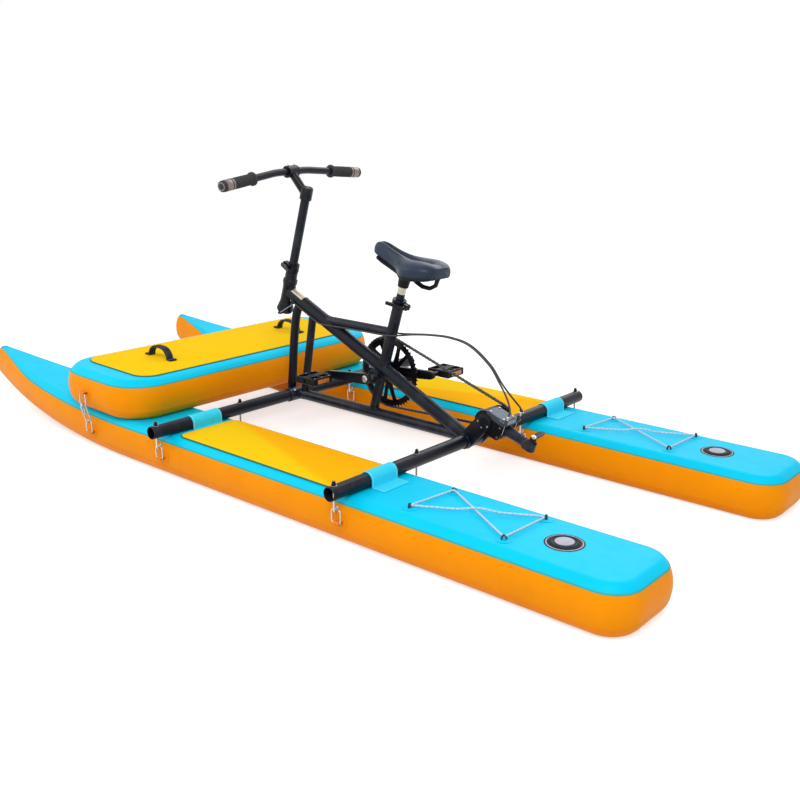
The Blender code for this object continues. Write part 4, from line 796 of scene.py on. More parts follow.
@dataclass(frozen=True)
class CoatedFabric(Finish):
    """Coated drop-stitch fabric: a fine cloth grain, dust marks and soft waves."""

    deepened: float = 0.86

    def paint(self, pen: Pen) -> None:
        """Fill the material's nodes.

        Args:
            pen: The material's nodes.
        """
        cloud = pen.noise(7, 4)
        grime = pen.noise(38, 5, roughness=0.62)
        colour = pen.mix(pen.ramp(cloud, (0.32, 0), (0.72, 1)), self.shade(self.deepened), self.colour)
        colour = pen.mix(pen.ramp(grime, (0.6, 0), (0.86, 0.35)), colour, self.shade(0.72))
        weave = pen.sum("MULTIPLY", pen.waves(pen.axis("X"), 0.0022),
                        pen.waves(pen.sum("ADD", pen.axis("Y"), pen.axis("Z")), 0.0022))
        grain = pen.cells(620)
        surface = pen.bump(weave, 0.00012, 0.5)
        surface = pen.bump(grain, 0.0001, 0.35, Normal=surface)
        surface = pen.bump(pen.noise(13, 2), 0.0016, 0.5, Normal=surface)
        rough = pen.ramp(grime, (0.2, max(0, self.roughness - 0.07)), (0.8, self.roughness + 0.1))
        pen.finish(Base_Color=colour, Roughness=rough, Normal=surface, Coat_Weight=0.01, Coat_Roughness=0.32,
                   Specular_IOR_Level=0.07)


@dataclass(frozen=True)
class FoamSheet(Finish):
    """Closed-cell foam with a planed grain and open pores; an optional second, darker colour paints shade over part of
    it, split off by a soft line.

    The line runs through the start and end points of the shade's edge in the plane, and the painted shade lies on its
    left; `soft` is its width.
    """

    second: Colour | None = None
    line_start: tuple[float, float] = (0, 0)
    line_end: tuple[float, float] = (1, 0)
    soft: float = 0.1
    mirrored: bool = False

    def paint(self, pen: Pen) -> None:
        """Fill the material's nodes.

        Args:
            pen: The material's nodes.
        """
        pores = pen.cells(900)
        fleck = pen.noise(240, 4)
        colour = pen.mix(pen.ramp(fleck, (0.35, 0), (0.75, 1)), self.shade(0.9), self.colour)
        # Painted shade: the second, darker colour stands for a shadow across part of the pad; noise makes its soft
        # edge wander.
        if self.second:
            ax, ay = self.line_start
            bx, by = self.line_end
            length = hypot(bx - ax, by - ay)
            nx, ny = -(by - ay) / length, (bx - ax) / length
            depth = pen.axis("Y")
            depth = pen.sum("ABSOLUTE", depth) if self.mirrored else depth
            distance = pen.sum("ADD", pen.sum("MULTIPLY_ADD", pen.axis("X"), nx, -(ax * nx + ay * ny)),
                               pen.sum("MULTIPLY", depth, ny))
            share = pen.sum("MULTIPLY_ADD", distance, 1 / self.soft, 0.5)
            wander = pen.sum("MULTIPLY_ADD", pen.noise(22, 3), 0.5, -0.25)
            share = pen.sum("MINIMUM", pen.sum("MAXIMUM", pen.sum("ADD", share, wander), 0), 1)
            colour = pen.mix(share, colour, self.second)
        smudge = pen.noise(16, 5, roughness=0.6)
        colour = pen.mix(pen.ramp(smudge, (0.58, 0), (0.85, 0.3)), colour, self.shade(0.74))
        groove = pen.ramp(pen.waves(pen.axis("X"), 0.006), (0.04, 0), (0.3, 1))
        surface = pen.bump(groove, 0.0005, 0.5)
        surface = pen.bump(pores, 0.00035, 0.6, Normal=surface)
        pen.finish(Base_Color=colour, Normal=surface, Roughness=pen.ramp(fleck, (0.2, 0.78), (0.8, 0.93)),
                   Specular_IOR_Level=0.06)


@dataclass(frozen=True)
class PlainFoam(Finish):
    """The foam sheet's cut rim."""

    def paint(self, pen: Pen) -> None:
        """Fill the material's nodes.

        Args:
            pen: The material's nodes.
        """
        fleck = pen.noise(300, 3)
        colour = pen.mix(fleck, self.shade(0.7), self.shade(1.2))
        pen.finish(Base_Color=colour, Normal=pen.bump(pen.cells(700), 0.0003, 0.6),
                   Roughness=pen.ramp(fleck, (0.2, 0.8), (0.8, 0.95)))


@dataclass(frozen=True)
class WovenStrap(Finish):
    """Woven strap: a twill weave, bound edges and two rows of stitches."""

    thread: Colour = (0.6, 0.6, 0.6)
    width: float = 0.1

    def paint(self, pen: Pen) -> None:
        """Fill the material's nodes.

        Args:
            pen: The material's nodes.
        """
        across, along = pen.axis("X", pen.metres), pen.axis("Y", pen.metres)
        twill = pen.waves(pen.sum("ADD", across, along), 0.0024)
        rib = pen.waves(along, 0.0016)
        weave = pen.sum("MULTIPLY_ADD", twill, 0.6, pen.sum("MULTIPLY", rib, 0.4))
        cloud = pen.noise(60, 3)
        colour = pen.mix(weave, self.shade(0.82), self.colour)
        colour = pen.mix(pen.ramp(cloud, (0.45, 0), (0.85, 0.4)), colour, self.shade(0.75))
        fold = pen.sum("MODULO", across, self.width)
        edge = pen.sum("MINIMUM", fold, pen.sum("SUBTRACT", self.width, fold))
        row = pen.sum("LESS_THAN", pen.sum("ABSOLUTE", pen.sum("SUBTRACT", edge, 0.0042)), 0.0005)
        stitch = pen.sum("MULTIPLY", row, pen.sum("GREATER_THAN", pen.waves(along, 0.0042), 0.32))
        colour = pen.mix(stitch, colour, self.thread)
        surface = pen.bump(weave, 0.0003, 0.7)
        surface = pen.bump(stitch, 0.0004, 0.8, Normal=surface)
        pen.finish(Base_Color=colour, Normal=surface, Specular_IOR_Level=0.3,
                   Roughness=pen.ramp(cloud, (0.2, self.roughness), (0.8, min(1, self.roughness + 0.15))))


@dataclass(frozen=True)
class SatinPaint(Finish):
    """Powder coat: fine orange peel, a clear top and edges rubbed a little brighter."""

    def paint(self, pen: Pen) -> None:
        """Fill the material's nodes.

        Args:
            pen: The material's nodes.
        """
        peel = pen.noise(420, 2)
        cloud = pen.noise(26, 5, roughness=0.6)
        worn = pen.ramp(pen.node("ShaderNodeNewGeometry").outputs["Pointiness"], (0.53, 0), (0.6, 1))
        scuff = pen.sum("MULTIPLY", worn, pen.ramp(cloud, (0.45, 0), (0.62, 0.55)))
        colour = pen.mix(cloud, self.shade(0.8), self.shade(1.25))
        colour = pen.mix(scuff, colour, tuple(min(1, c * 3 + 0.05) for c in self.colour))
        rough = pen.ramp(cloud, (0.25, self.roughness - 0.05), (0.8, self.roughness + 0.1))
        pen.finish(Base_Color=colour, Roughness=rough, Normal=pen.bump(peel, 0.00008, 0.45), Coat_Weight=0.05,
                   Coat_Roughness=0.2, Specular_IOR_Level=0.2)


@dataclass(frozen=True)
class BareMetal(Finish):
    """Bare metal with a brushed grain and faint stains."""

    grain: tuple[float, float, float] = (60, 900, 900)

    def paint(self, pen: Pen) -> None:
        """Fill the material's nodes.

        Args:
            pen: The material's nodes.
        """
        brushed = pen.noise(1, 3, pen.stretched(self.grain))
        stain = pen.noise(45, 4, roughness=0.6)
        colour = pen.mix(pen.ramp(stain, (0.4, 0), (0.78, 1)), self.colour, self.shade(0.74))
        rough = pen.sum("MULTIPLY_ADD", brushed, 0.22, self.roughness - 0.08)
        pen.finish(Base_Color=colour, Roughness=rough, Metallic=1, Normal=pen.bump(brushed, 0.00006, 0.35))


@dataclass(frozen=True)
class Moulded(Finish):
    """Moulded plastic or rubber with a spark-eroded grain."""

    depth: float = 0.00012
    scale: float = 800.0

    def paint(self, pen: Pen) -> None:
        """Fill the material's nodes.

        Args:
            pen: The material's nodes.
        """
        grain = pen.cells(self.scale)
        cloud = pen.noise(34, 4, roughness=0.6)
        colour = pen.mix(cloud, self.shade(0.8), self.shade(1.3))
        rough = pen.ramp(cloud, (0.25, self.roughness - 0.08), (0.8, self.roughness + 0.1))
        pen.finish(Base_Color=colour, Roughness=rough, Normal=pen.bump(grain, self.depth, 0.6),
                   Specular_IOR_Level=0.18)


@dataclass(frozen=True)
class SaddleCover(Finish):
    """Saddle covering: a pebbled grain with a cool sheen, its roughness varying in soft random patches."""

    sheen: Colour = (0.22, 0.38, 0.66)

    def paint(self, pen: Pen) -> None:
        """Fill the material's nodes.

        Args:
            pen: The material's nodes.
        """
        pebble = pen.cells(760, "SMOOTH_F1")
        crease = pen.noise(130, 4, roughness=0.6)
        cloud = pen.noise(20, 4)
        colour = pen.mix(pen.ramp(cloud, (0.3, 0), (0.7, 1)), self.shade(0.75), self.shade(1.35))
        surface = pen.bump(pebble, 0.00025, 0.75)
        surface = pen.bump(crease, 0.0003, 0.35, Normal=surface)
        rough = pen.ramp(cloud, (0.3, self.roughness - 0.07), (0.7, self.roughness + 0.1))
        pen.finish(Base_Color=colour, Roughness=rough, Normal=surface, Sheen_Weight=0.16, Sheen_Roughness=0.4,
                   Sheen_Tint=self.sheen, Coat_Weight=0.08, Coat_Roughness=0.4, Specular_IOR_Level=0.3)


@dataclass(frozen=True)
class Braid(Finish):
    """The braided sleeve of an elastic cord, with a fleck in it."""

    fleck: Colour = (0.1, 0.2, 0.3)
    around: float = 0.0188

    def paint(self, pen: Pen) -> None:
        """Fill the material's nodes.

        Args:
            pen: The material's nodes.
        """
        across, along = pen.axis("X", pen.metres), pen.axis("Y", pen.metres)
        left = pen.waves(pen.sum("ADD", across, along), self.around / 6)
        right = pen.waves(pen.sum("SUBTRACT", across, along), self.around / 6)
        braid = pen.sum("MAXIMUM", left, right)
        mark = pen.sum("GREATER_THAN", pen.sum("MULTIPLY", left, pen.waves(along, 0.0124)), 0.83)
        colour = pen.mix(braid, self.shade(0.62), self.colour)
        colour = pen.mix(mark, colour, self.fleck)
        pen.finish(Base_Color=colour, Normal=pen.bump(braid, 0.0004, 0.8),
                   Roughness=pen.ramp(braid, (0, 0.9), (1, self.roughness)))


@dataclass(frozen=True)
class Prism(Finish):
    """A reflector's face: a grid of small corner prisms under a clear skin."""

    def paint(self, pen: Pen) -> None:
        """Fill the material's nodes.

        Args:
            pen: The material's nodes.
        """
        grid = pen.sum("MULTIPLY", pen.waves(pen.axis("Y"), 0.0026),
                       pen.waves(pen.sum("ADD", pen.axis("X"), pen.axis("Z")), 0.0026))
        colour = pen.mix(grid, self.shade(0.55), self.shade(1.5))
        pen.finish(Base_Color=colour, Normal=pen.bump(grid, 0.0006, 0.8), Coat_Weight=0.35, Coat_Roughness=0.05,
                   Roughness=pen.ramp(grid, (0, 0.35), (1, 0.18)))


ORANGE_SKIN = CoatedFabric("orange_coated_fabric", paint_code(248, 149, 0), 0.42, 0.92)
CYAN_SKIN = CoatedFabric("cyan_coated_fabric", paint_code(0, 206, 245), 0.42, 0.95)
SEAM_TAPE = CoatedFabric("seam_tape", paint_code(70, 176, 170), 0.45)
ORANGE_TAPE = CoatedFabric("orange_welded_tape", paint_code(245, 145, 0), 0.41, 0.92)
YELLOW_FOAM = FoamSheet("yellow_foam", paint_code(255, 206, 12), 0.86)
# The hull pads' amber second colour is painted shade over their inner, aft part; the rest keeps the yellow.
PAD_FOAM_WITH_PAINTED_SHADE = FoamSheet("two_tone_foam", paint_code(255, 208, 14), 0.86, paint_code(255, 182, 6),
                     (0.12, 0.3), (-0.5, 0.51), 0.03, True)
DARK_RIM = PlainFoam("dark_foam_rim", paint_code(30, 112, 96), 0.88)
CYAN_STRAP = WovenStrap("cyan_strap", paint_code(48, 222, 255), 0.55, paint_code(225, 250, 255), 0.108)
REAR_STRAP = WovenStrap("rear_cyan_strap", paint_code(48, 222, 255), 0.55, paint_code(225, 250, 255), 0.098)
ORANGE_WEB = WovenStrap("orange_tab_webbing", paint_code(240, 134, 8), 0.6, paint_code(255, 190, 90), 0.022)
BLACK_WEB = WovenStrap("black_handle_webbing", paint_code(38, 38, 42), 0.68, paint_code(125, 126, 132), 0.026)
FRAME_BLACK = SatinPaint("satin_black_coat", paint_code(12, 17, 30), 0.32)
DEEP_BLACK = SatinPaint("gloss_black_coat", paint_code(10, 12, 19), 0.27)
BRIGHT_STEEL = BareMetal("bright_steel", (0.6, 0.59, 0.575), 0.24)
GRIP_CLAMP = BareMetal("bronze_grey_clamp", (0.25, 0.205, 0.195), 0.34, (300, 300, 300))
GREY_ALLOY = BareMetal("grey_alloy", (0.095, 0.115, 0.14), 0.42, (200, 200, 900))
CHAIN_STEEL = BareMetal("chain_steel", (0.11, 0.11, 0.115), 0.36, (400, 400, 400))
PLATE_METAL = BareMetal("pale_plate", paint_code(206, 198, 180), 0.42)
BLACK_PLASTIC = Moulded("black_moulded_plastic", paint_code(17, 18, 21), 0.44)
GREY_PLASTIC = Moulded("grey_moulded_plastic", paint_code(176, 174, 190), 0.45)
DARK_PLASTIC = Moulded("dark_valve_plastic", paint_code(34, 42, 48), 0.5)
GRIP_RUBBER = Moulded("grip_rubber", paint_code(16, 16, 19), 0.72, 0.0003, 420)
COLLAR_RUBBER = Moulded("blue_grey_collar", paint_code(32, 40, 54), 0.42)
SHEATH = Moulded("cable_sheath", paint_code(12, 12, 15), 0.38, 0.00006, 900)
SADDLE_SKIN = SaddleCover("saddle_covering", paint_code(21, 37, 58), 0.38)
SADDLE_GROOVE = SaddleCover("saddle_channel_covering", paint_code(7, 8, 11), 0.55)
BUNGEE = Braid("elastic_cord_braid", paint_code(214, 232, 244), 0.7, paint_code(40, 120, 170))
AMBER = Prism("amber_reflector", paint_code(244, 126, 0), 0.2)


# Studio


@dataclass
class Studio:
    """The camera at the photograph's place, the floor and the lamps."""

    eye: Vector = field(default_factory=lambda: at(-2.11, 2.146, 1.0257))
    yaw: float = radians(-49.533)
    pitch: float = radians(-16.241)
    roll: float = radians(0.386)
    lens: float = 44.05
    floor_size: float = 40.0
    sky: float = 0.62

    def camera(self) -> None:
        """Place the camera."""
        ahead = at(cos(self.yaw) * cos(self.pitch), sin(self.yaw) * cos(self.pitch), sin(self.pitch))
        level = at(sin(self.yaw), -cos(self.yaw), 0)
        upward = level.cross(ahead)
        right = cos(self.roll) * level + sin(self.roll) * upward
        above = -sin(self.roll) * level + cos(self.roll) * upward
        data = bpy.data.cameras.new("photo_camera")
        data.lens, data.sensor_width, data.clip_start, data.clip_end = self.lens, 36, 0.05, 100
        camera = placed("photo_camera", data)
        camera.matrix_world = Matrix((right, above, -ahead)).transposed().to_4x4()
        camera.location = self.eye
        bpy.context.scene.camera = camera

    def split(self, owner: bpy.types.ID, output: str) -> tuple[Nodes, bpy.types.Node]:
        """End a tree in a mix of two shaders, the second for rays of the camera, a gloss or a glass.

        Args:
            owner: The material or world that has the tree.
            output: The type of its last node.

        Returns:
            The nodes, and the one that mixes.
        """
        nodes = Nodes(owner)
        nodes.tree.nodes.clear()
        end, mixer = nodes.node(output), nodes.node("ShaderNodeMixShader")
        rays = nodes.node("ShaderNodeLightPath")
        share = rays.outputs["Is Camera Ray"]
        for name in ("Is Glossy Ray", "Is Transmission Ray"):
            share = nodes.sum("MAXIMUM", share, rays.outputs[name])
        nodes.feed(mixer, i0=share)
        nodes.feed(end, Surface=mixer.outputs[0])
        return nodes, mixer

    def world(self) -> None:
        """A plain white room."""
        world = bpy.data.worlds.new("studio")
        bpy.context.scene.world = world
        nodes, mixer = self.split(world, "ShaderNodeOutputWorld")
        lit, shown = (nodes.feed(nodes.node("ShaderNodeBackground"), Color=(1, 1, 1), Strength=strength)
                      for strength in (self.sky, 1))
        nodes.feed(mixer, i1=lit.outputs[0], i2=shown.outputs[0])

    def floor(self) -> None:
        """A plain pale floor that keeps the shadow."""
        half, height = self.floor_size / 2, -0.0008
        mesh = bpy.data.meshes.new("studio_floor")
        mesh.from_pydata([(-half, -half, height), (half, -half, height), (half, half, height), (-half, half, height)],
                         [], [(0, 1, 2, 3)])
        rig.stage(placed("studio_floor", mesh))
        material = bpy.data.materials.new("pale_floor")
        mesh.materials.append(material)
        nodes, mixer = self.split(material, "ShaderNodeOutputMaterial")
        matt, pale = (nodes.feed(nodes.node("ShaderNodeBsdfDiffuse"), Color=(grey, grey, grey)).outputs[0]
                      for grey in (0.8, 0.6))
        glow = nodes.feed(nodes.node("ShaderNodeEmission"), Strength=0.63).outputs[0]
        both = nodes.feed(nodes.node("ShaderNodeAddShader"), i0=pale, i1=glow).outputs[0]
        nodes.feed(mixer, i1=matt, i2=both)

    def lamp(self, name: str, place: Sequence[float], size: float, power: float) -> None:
        """Hang a soft square lamp that points at the craft.

        Args:
            name: Its name.
            place: Where it hangs.
            size: The length of its sides.
            power: Its power in watts.
        """
        data = bpy.data.lights.new(name, "AREA")
        data.shape, data.size, data.energy = "SQUARE", size, power
        lamp = placed(name, data)
        lamp.location, lamp.rotation_mode = place, "QUATERNION"
        lamp.rotation_quaternion = (at(0, 0, 0.2) - Vector(place)).to_track_quat("-Z", "Y")

    def build(self) -> None:
        """Set up the studio."""
        self.camera()
        self.world()
        self.floor()
        self.lamp("key_lamp", (-2.2, 2.6, 3.6), 2.6, 95)
        self.lamp("fill_lamp", (2.8, 2.2, 2.6), 3, 40)
        self.lamp("back_lamp", (0.6, -3.4, 3), 2.6, 45)
        bpy.context.scene.view_settings.view_transform = "Standard"
        LOG.info("studio: camera, floor and three lamps")


# Inflated bodies


@dataclass
class InflatedBody:
    """An inflated board: flat deck and underside, full-round rails, a taped seam high on the rail."""

    half_outline: Outline
    rise: Callable[[float], float]
    thickness: Callable[[float], float]
    inset: Callable[[float], float]
    placing: Matrix
    seam: float = 0.8
    tape_half: float = 0.045
    tape_proud: float = 0.0006
    wrap_from: float = 9.0
    wrap_over: float = 0.34

    def wrapped(self, angle: float, x: float) -> float:
        """The rail angle at a place along the body: at the bow the rails wrap over onto the deck.

        Args:
            angle: The angle from straight up, in radians.
            x: The place along the body.

        Returns:
            The angle there.
        """
        share = min(1, max(0, (x - self.wrap_from) / self.wrap_over))
        seam = self.seam * (1 - 0.78 * share * share * (3 - 2 * share))
        if angle <= self.seam:
            return angle * seam / self.seam
        return seam + (angle - self.seam) * (pi - seam) / (pi - self.seam)

    def ring(self, angle: float, proud: float = 0.0) -> list[Vector]:
        """The line round the body at a rail angle.

        Args:
            angle: The angle from straight up, in radians.
            proud: How far the line stands off the skin.

        Returns:
            The line's points in the body's own frame.
        """
        full = self.half_outline + [(x, -y) for x, y in reversed(self.half_outline[1:-1])]
        count = len(full)
        points = []
        for i, (x, y) in enumerate(full):
            along = (Vector(full[(i + 1) % count]) - Vector(full[i - 1])).normalized()
            inward = Vector((-along.y, along.x))
            tall, drawn, a = self.thickness(x) / 2, self.inset(x), self.wrapped(angle, x)
            outward = Vector((tall * sin(a), drawn * cos(a))).normalized() * proud
            depth = drawn * (1 - sin(a)) - outward.x
            points.append(at(x - inward.x * depth, y - inward.y * depth,
                             self.rise(x) + tall * (1 + cos(a)) + outward.y))
        return points

    def skin(self, name: str, node: str) -> None:
        """Make the skin, with a cyan deck above the seam and orange rails below it.

        Args:
            name: The piece's name.
            node: The solid that it stands for.
        """
        angles = sorted({self.seam, *(pi * step / 32 for step in range(33))})
        shape = Shape()
        index = shape.grid([self.ring(a) for a in angles], wrap=True,
                           finish=lambda i, j: 1 if angles[i + 1] <= self.seam + 1e-6 else 0)
        half = len(index[0]) // 2
        for ring, finish in ((index[0], 1), (index[-1], 0)):
            shape.cap([ring[0], ring[1], ring[-1]], finish)
            for i in range(1, half - 1):
                shape.cap([ring[i], ring[i + 1], ring[-i - 1], ring[-i]], finish)
            shape.cap(ring[half - 1:half + 2], finish)
        piece = shape.piece(name, "root", ORANGE_SKIN, CYAN_SKIN, stands_for=node, slot="hull_skin",
                            placing=self.placing)
        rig.padded(piece, fill=1.0)

    def tapes(self, name: str) -> None:
        """Make the pale seam tape above and the wide welded tape below.

        Args:
            name: The piece's name.
        """
        shape = Shape()
        for middle, half, finish in ((self.seam, self.tape_half, 0), (2.25, 0.22, 1)):
            steps = [(-1, 0), (-0.92, 1), (-0.3, 1), (0.3, 1), (0.92, 1), (1, 0)]
            shape.grid([self.ring(middle + half * share, 0.00005 + self.tape_proud * lift) for share, lift in steps],
                       wrap=True, finish=finish)
        shape.piece(name, "root", SEAM_TAPE, ORANGE_TAPE, placing=self.placing)

    def depth(self, x: float, wall: float, z: float) -> float:
        """The side's distance from the middle plane at a height.

        Args:
            x: The place along the body.
            wall: The distance at half height.
            z: The height above the underside's line.

        Returns:
            The distance at that height.
        """
        tall = self.thickness(x) / 2
        share = max(-0.98, min(0.98, (z - self.rise(x) - tall) / tall))
        return wall - self.inset(x) * (1 - sqrt(1 - share * share))


@dataclass
class TieRing:
    """A wire ring held by a webbing tab on a round welded patch."""

    body: InflatedBody
    x: float
    wall: float
    side: int
    foot: float
    bar: float
    stand_off: float = 0.0135
    wire: float = 0.002
    ring_width: float = 0.03
    ring_corner: float = 0.008
    patch_radius: float = 0.024
    tab_width: float = 0.02

    def add_to(self, shape: Shape) -> None:
        """Add the patch, the tab and the ring to a shape with three finishes.

        Args:
            shape: The shape.
        """
        rows = []
        rings = ((1, 0), (1, 0.0012), (0.93, 0.0016), (0.6, 0.0016), (0.3, 0.0016), (0.02, 0.0017))
        for share, proud in rings:
            row = []
            for a in round_angles(40):
                u, v = cos(a) * self.patch_radius * share, sin(a) * self.patch_radius * share
                depth = self.body.depth(self.x, self.wall, self.foot + v) + proud
                row.append(at(self.x + u, self.side * depth, self.foot + v))
            rows.append(row)
        shape.grid(rows, wrap=True, finish=0)
        middle, tall = (self.foot + self.bar) / 2, abs(self.bar - self.foot)
        loop = [at(self.x + u, self.side * (self.wall + self.stand_off), middle + v)
                for u, v in rounded_rectangle(self.ring_width, tall, self.ring_corner, 6)]
        shape.tube(loop, self.wire, 12, closed=True, finish=2)
        gap = self.wire + 0.0013
        line = [(-0.004, -0.0032), (0.003, -0.003), (0.008, -gap)]
        line += [(self.stand_off + gap * sin(a), -gap * cos(a)) for a in (pi * step / 8 for step in range(9))]
        line += [(0.008, gap), (0.003, 0.003), (-0.004, 0.0032)]
        points = [at(self.x, self.side * (self.wall + y), self.foot + z) for y, z in line]
        shape.strip(points, AHEAD, self.tab_width, 0.0016, finish=1)


@dataclass
class FoamPad:
    """A glued foam pad with a dark rim round it."""

    length: float
    width: float
    corner: float
    placing: Matrix
    finish: Finish
    thickness: float = 0.004
    rim: float = 0.0038

    def build(self, name: str, node: str) -> None:
        """Make the pad and its rim.

        Args:
            name: The pad's name.
            node: The solid that it stands for.
        """
        outline = rounded_rectangle(self.length, self.width, self.corner, 14)
        top, under = Shape(), Shape()
        top.plate(drawn_in(outline, self.rim), self.thickness, self.placing @ moved(0, 0, self.thickness / 2),
                  edge=0.0012)
        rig.padded(top.piece(name, "root", self.finish, stands_for=node, slot="foam_pad"), fill=1.0)
        tall = self.thickness * 0.62
        under.plate(outline, tall, self.placing @ moved(0, 0, tall / 2), edge=0.0008)
        under.piece(name + "_rim", "root", DARK_RIM, slot="foam_pad")


@dataclass
class Hull:
    """One hull: skin, tapes, tie rings, deck pad, valve and laced elastic cord."""

    side: Side
    length: float = 2.66
    width: float = 0.275
    tall: float = 0.125
    rail_inset: float = 0.037
    stern_corner: float = 0.085
    nose_radius: float = 0.034
    nose_tall: float = 0.105
    nose_rise: float = 0.088
    taper: float = 0.96
    taper_power: float = 2.1
    valve_x: float = -1.103
    cord_radius: float = 0.00225

    @property
    def middle(self) -> float:
        """The Y of the hull's middle plane."""
        return self.side.value * HULL_Y

    @property
    def shoulder(self) -> float:
        """The place where the taper starts."""
        return self.length / 2 - self.taper

    def share(self, x: float) -> float:
        """How far along the taper a place is."""
        return min(1, max(0, (x - self.shoulder) / self.taper))

    def half_width(self, x: float) -> float:
        """Half the hull's width on its taper."""
        share = max(0, (x - self.shoulder) / (self.taper - self.nose_radius))
        return self.nose_radius + (self.width / 2 - self.nose_radius) * (1 - share ** self.taper_power)

    def half_outline(self) -> Outline:
        """Half of the hull's plan.

        Returns:
            The points, from the middle of the stern to the nose.
        """
        stern, half, nose = -self.length / 2, self.width / 2, self.length / 2 - self.nose_radius
        bend, start = self.stern_corner, self.shoulder
        points = [(stern, 0), (stern, half * 0.2), *arc((stern + bend, half - bend), bend, 180, 90, 16)]
        points += [(stern + bend + (start - stern - bend) * step / 30, half) for step in range(1, 30)]
        points += [(x, self.half_width(x)) for x in (start + (nose - start) * step / 44 for step in range(45))]
        return points + arc((nose, 0), self.nose_radius, 66, 0, 9)

    def body(self) -> InflatedBody:
        """The hull's own form.

        Returns:
            The inflated body.
        """
        return InflatedBody(
            self.half_outline(), lambda x: self.nose_rise * self.share(x) ** 2,
            lambda x: self.tall + (self.nose_tall - self.tall) * self.share(x) ** 2,
            lambda x: self.rail_inset * (1 - 0.4 * self.share(x) ** 2), moved(0, self.middle, 0),
            wrap_from=self.length / 2 - 0.36)

    def tie_rings(self, body: InflatedBody) -> None:
        """Make the five rings and their patches.

        Args:
            body: The hull's body.
        """
        shape = Shape()
        for x in BEAM_X:
            for way in (-1, 1):
                TieRing(body, x, self.width / 2, way, 0.062, 0.0988).add_to(shape)
        TieRing(body, CLIP_X, self.half_width(CLIP_X), self.side.value, 0.062, 0.1).add_to(shape)
        shape.piece(self.side.word + "_hull_tie_rings", "root", ORANGE_TAPE, ORANGE_WEB, BRIGHT_STEEL,
                    slot="hull_webbing", placing=body.placing)

    def valve(self) -> None:
        """Make the inflation valve: a printed disc, a ribbed flange, a dark well and a pale cap."""
        shape = Shape()
        place = moved(self.valve_x, self.middle, self.tall + GAP)
        flange = mm((0, 0), (36, 0), (36, 1.4), (35.2, 2.2), (32.5, 2.6), (31.2, 4.4), (29.6, 4.6), (28.2, 4),
                    (27.2, 2.4))
        well = mm((27.2, 2.4), (22.8, 2.2), (22.2, 3))
        cap = mm((22.2, 3), (22, 4.2), (20.5, 4.9), (15, 5), (14.2, 4.4), (9.5, 4.4), (8.8, 5), (0, 5))
        for profile, finish in ((flange, 0), (well, 2), (cap, 1)):
            shape.turned(profile, place, 64, finish)
        for a in round_angles(24):
            rib = [place @ at(r * cos(a), r * sin(a), h) for r, h in ((0.031, 0.0043), (0.0345, 0.0026))]
            shape.tube(rib, 0.0006, 6, finish=0)
        for outer, inner, rise, finish in ((0.046, 0, 0.0004, 2), (0.0424, 0.0398, 0.0007, 1)):
            shape.turned([(inner, 0), (outer, 0), (outer, rise * 0.6), (outer - 0.0004, rise), (inner, rise)],
                         place, 72, finish)
        shape.piece(self.side.word + "_valve_body", "root", DARK_PLASTIC, GREY_PLASTIC, BLACK_PLASTIC,
                    stands_for=self.side.word + "_valve", slot="valve_plastic")

    def bungee(self) -> None:
        """Make the elastic cord, laced in a bow tie between four anchors."""
        word, deck = self.side.word, self.tall + GAP
        height = deck + self.cord_radius + 0.0048
        line = [at(x, self.middle + y, height)
                for x, y in ((-0.72, 0.073), (-0.738, -0.077), (-0.994, 0.076), (-1.002, -0.084))]
        route = rounded_corners([*line, line[0]], 0.007, 0.004)
        back = (line[3] - line[0]).normalized()
        route = [p for p in route if (p - line[0]).length > 0.009 or (p - line[0]).dot(back) < 0.004]
        crossing, total, gone, path = at(-0.866, self.middle - 0.002, height), path_length(route), 0, route[:1]
        for before, point in zip(route, route[1:]):
            gone += (point - before).length
            near = min(1, (point - crossing).xy.length / 0.06)
            lift = 0.0072 * cos(near * pi / 2) ** 2 if gone > total * 0.6 else 0.0
            path.append(point + at(0, 0, lift))
        shape, anchors = Shape(), Shape()
        shape.tube(path, self.cord_radius, 14)
        cord = shape.piece(word + "_bungee", "root", BUNGEE, stands_for=word + "_deck_cord", slot="elastic_cord")
        centre = at(-0.8635, self.middle, 0)
        for point in line:
            place = moved(point.x, point.y, deck)
            anchors.turned(mm((0, 0), (19, 0), (19, 0.8), (17.8, 1.2), (0, 1.3)), place, 40)
            toward = (centre - point).xy.normalized()
            across = at(-toward.y, toward.x, 0)
            hoop = [place @ (across * (0.0062 * cos(a)) + at(0, 0, 0.001 + 0.0108 * sin(a)))
                    for a in (pi * step / 14 for step in range(15))]
            anchors.strip(hoop, at(toward.x, toward.y, 0), 0.0065, 0.0012, finish=1)
        anchors.piece(word + "_bungee_anchors", "root", CYAN_SKIN, BLACK_WEB, slot="hull_webbing")
        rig.cord(cord, exit=path[0], length=path_length(path), diameter=2 * self.cord_radius, far_end="object",
                stiffness="limp", lay="taut", path=path)

    def build(self) -> None:
        """Make the whole hull."""
        word, body = self.side.word, self.body()
        body.skin(word + "_hull_skin", word + "_hull")
        body.tapes(word + "_hull_tapes")
        self.tie_rings(body)
        front, rear = BEAM_X[0] - 0.029, BEAM_X[1] + 0.029
        pad = FoamPad(front - rear, 0.216, 0.03, moved((front + rear) / 2, self.middle, self.tall + GAP), PAD_FOAM_WITH_PAINTED_SHADE)
        pad.build(word + "_deck_foam", word + "_deck_pad")
        self.valve()
        self.bungee()
        LOG.info("hull: %s", word)


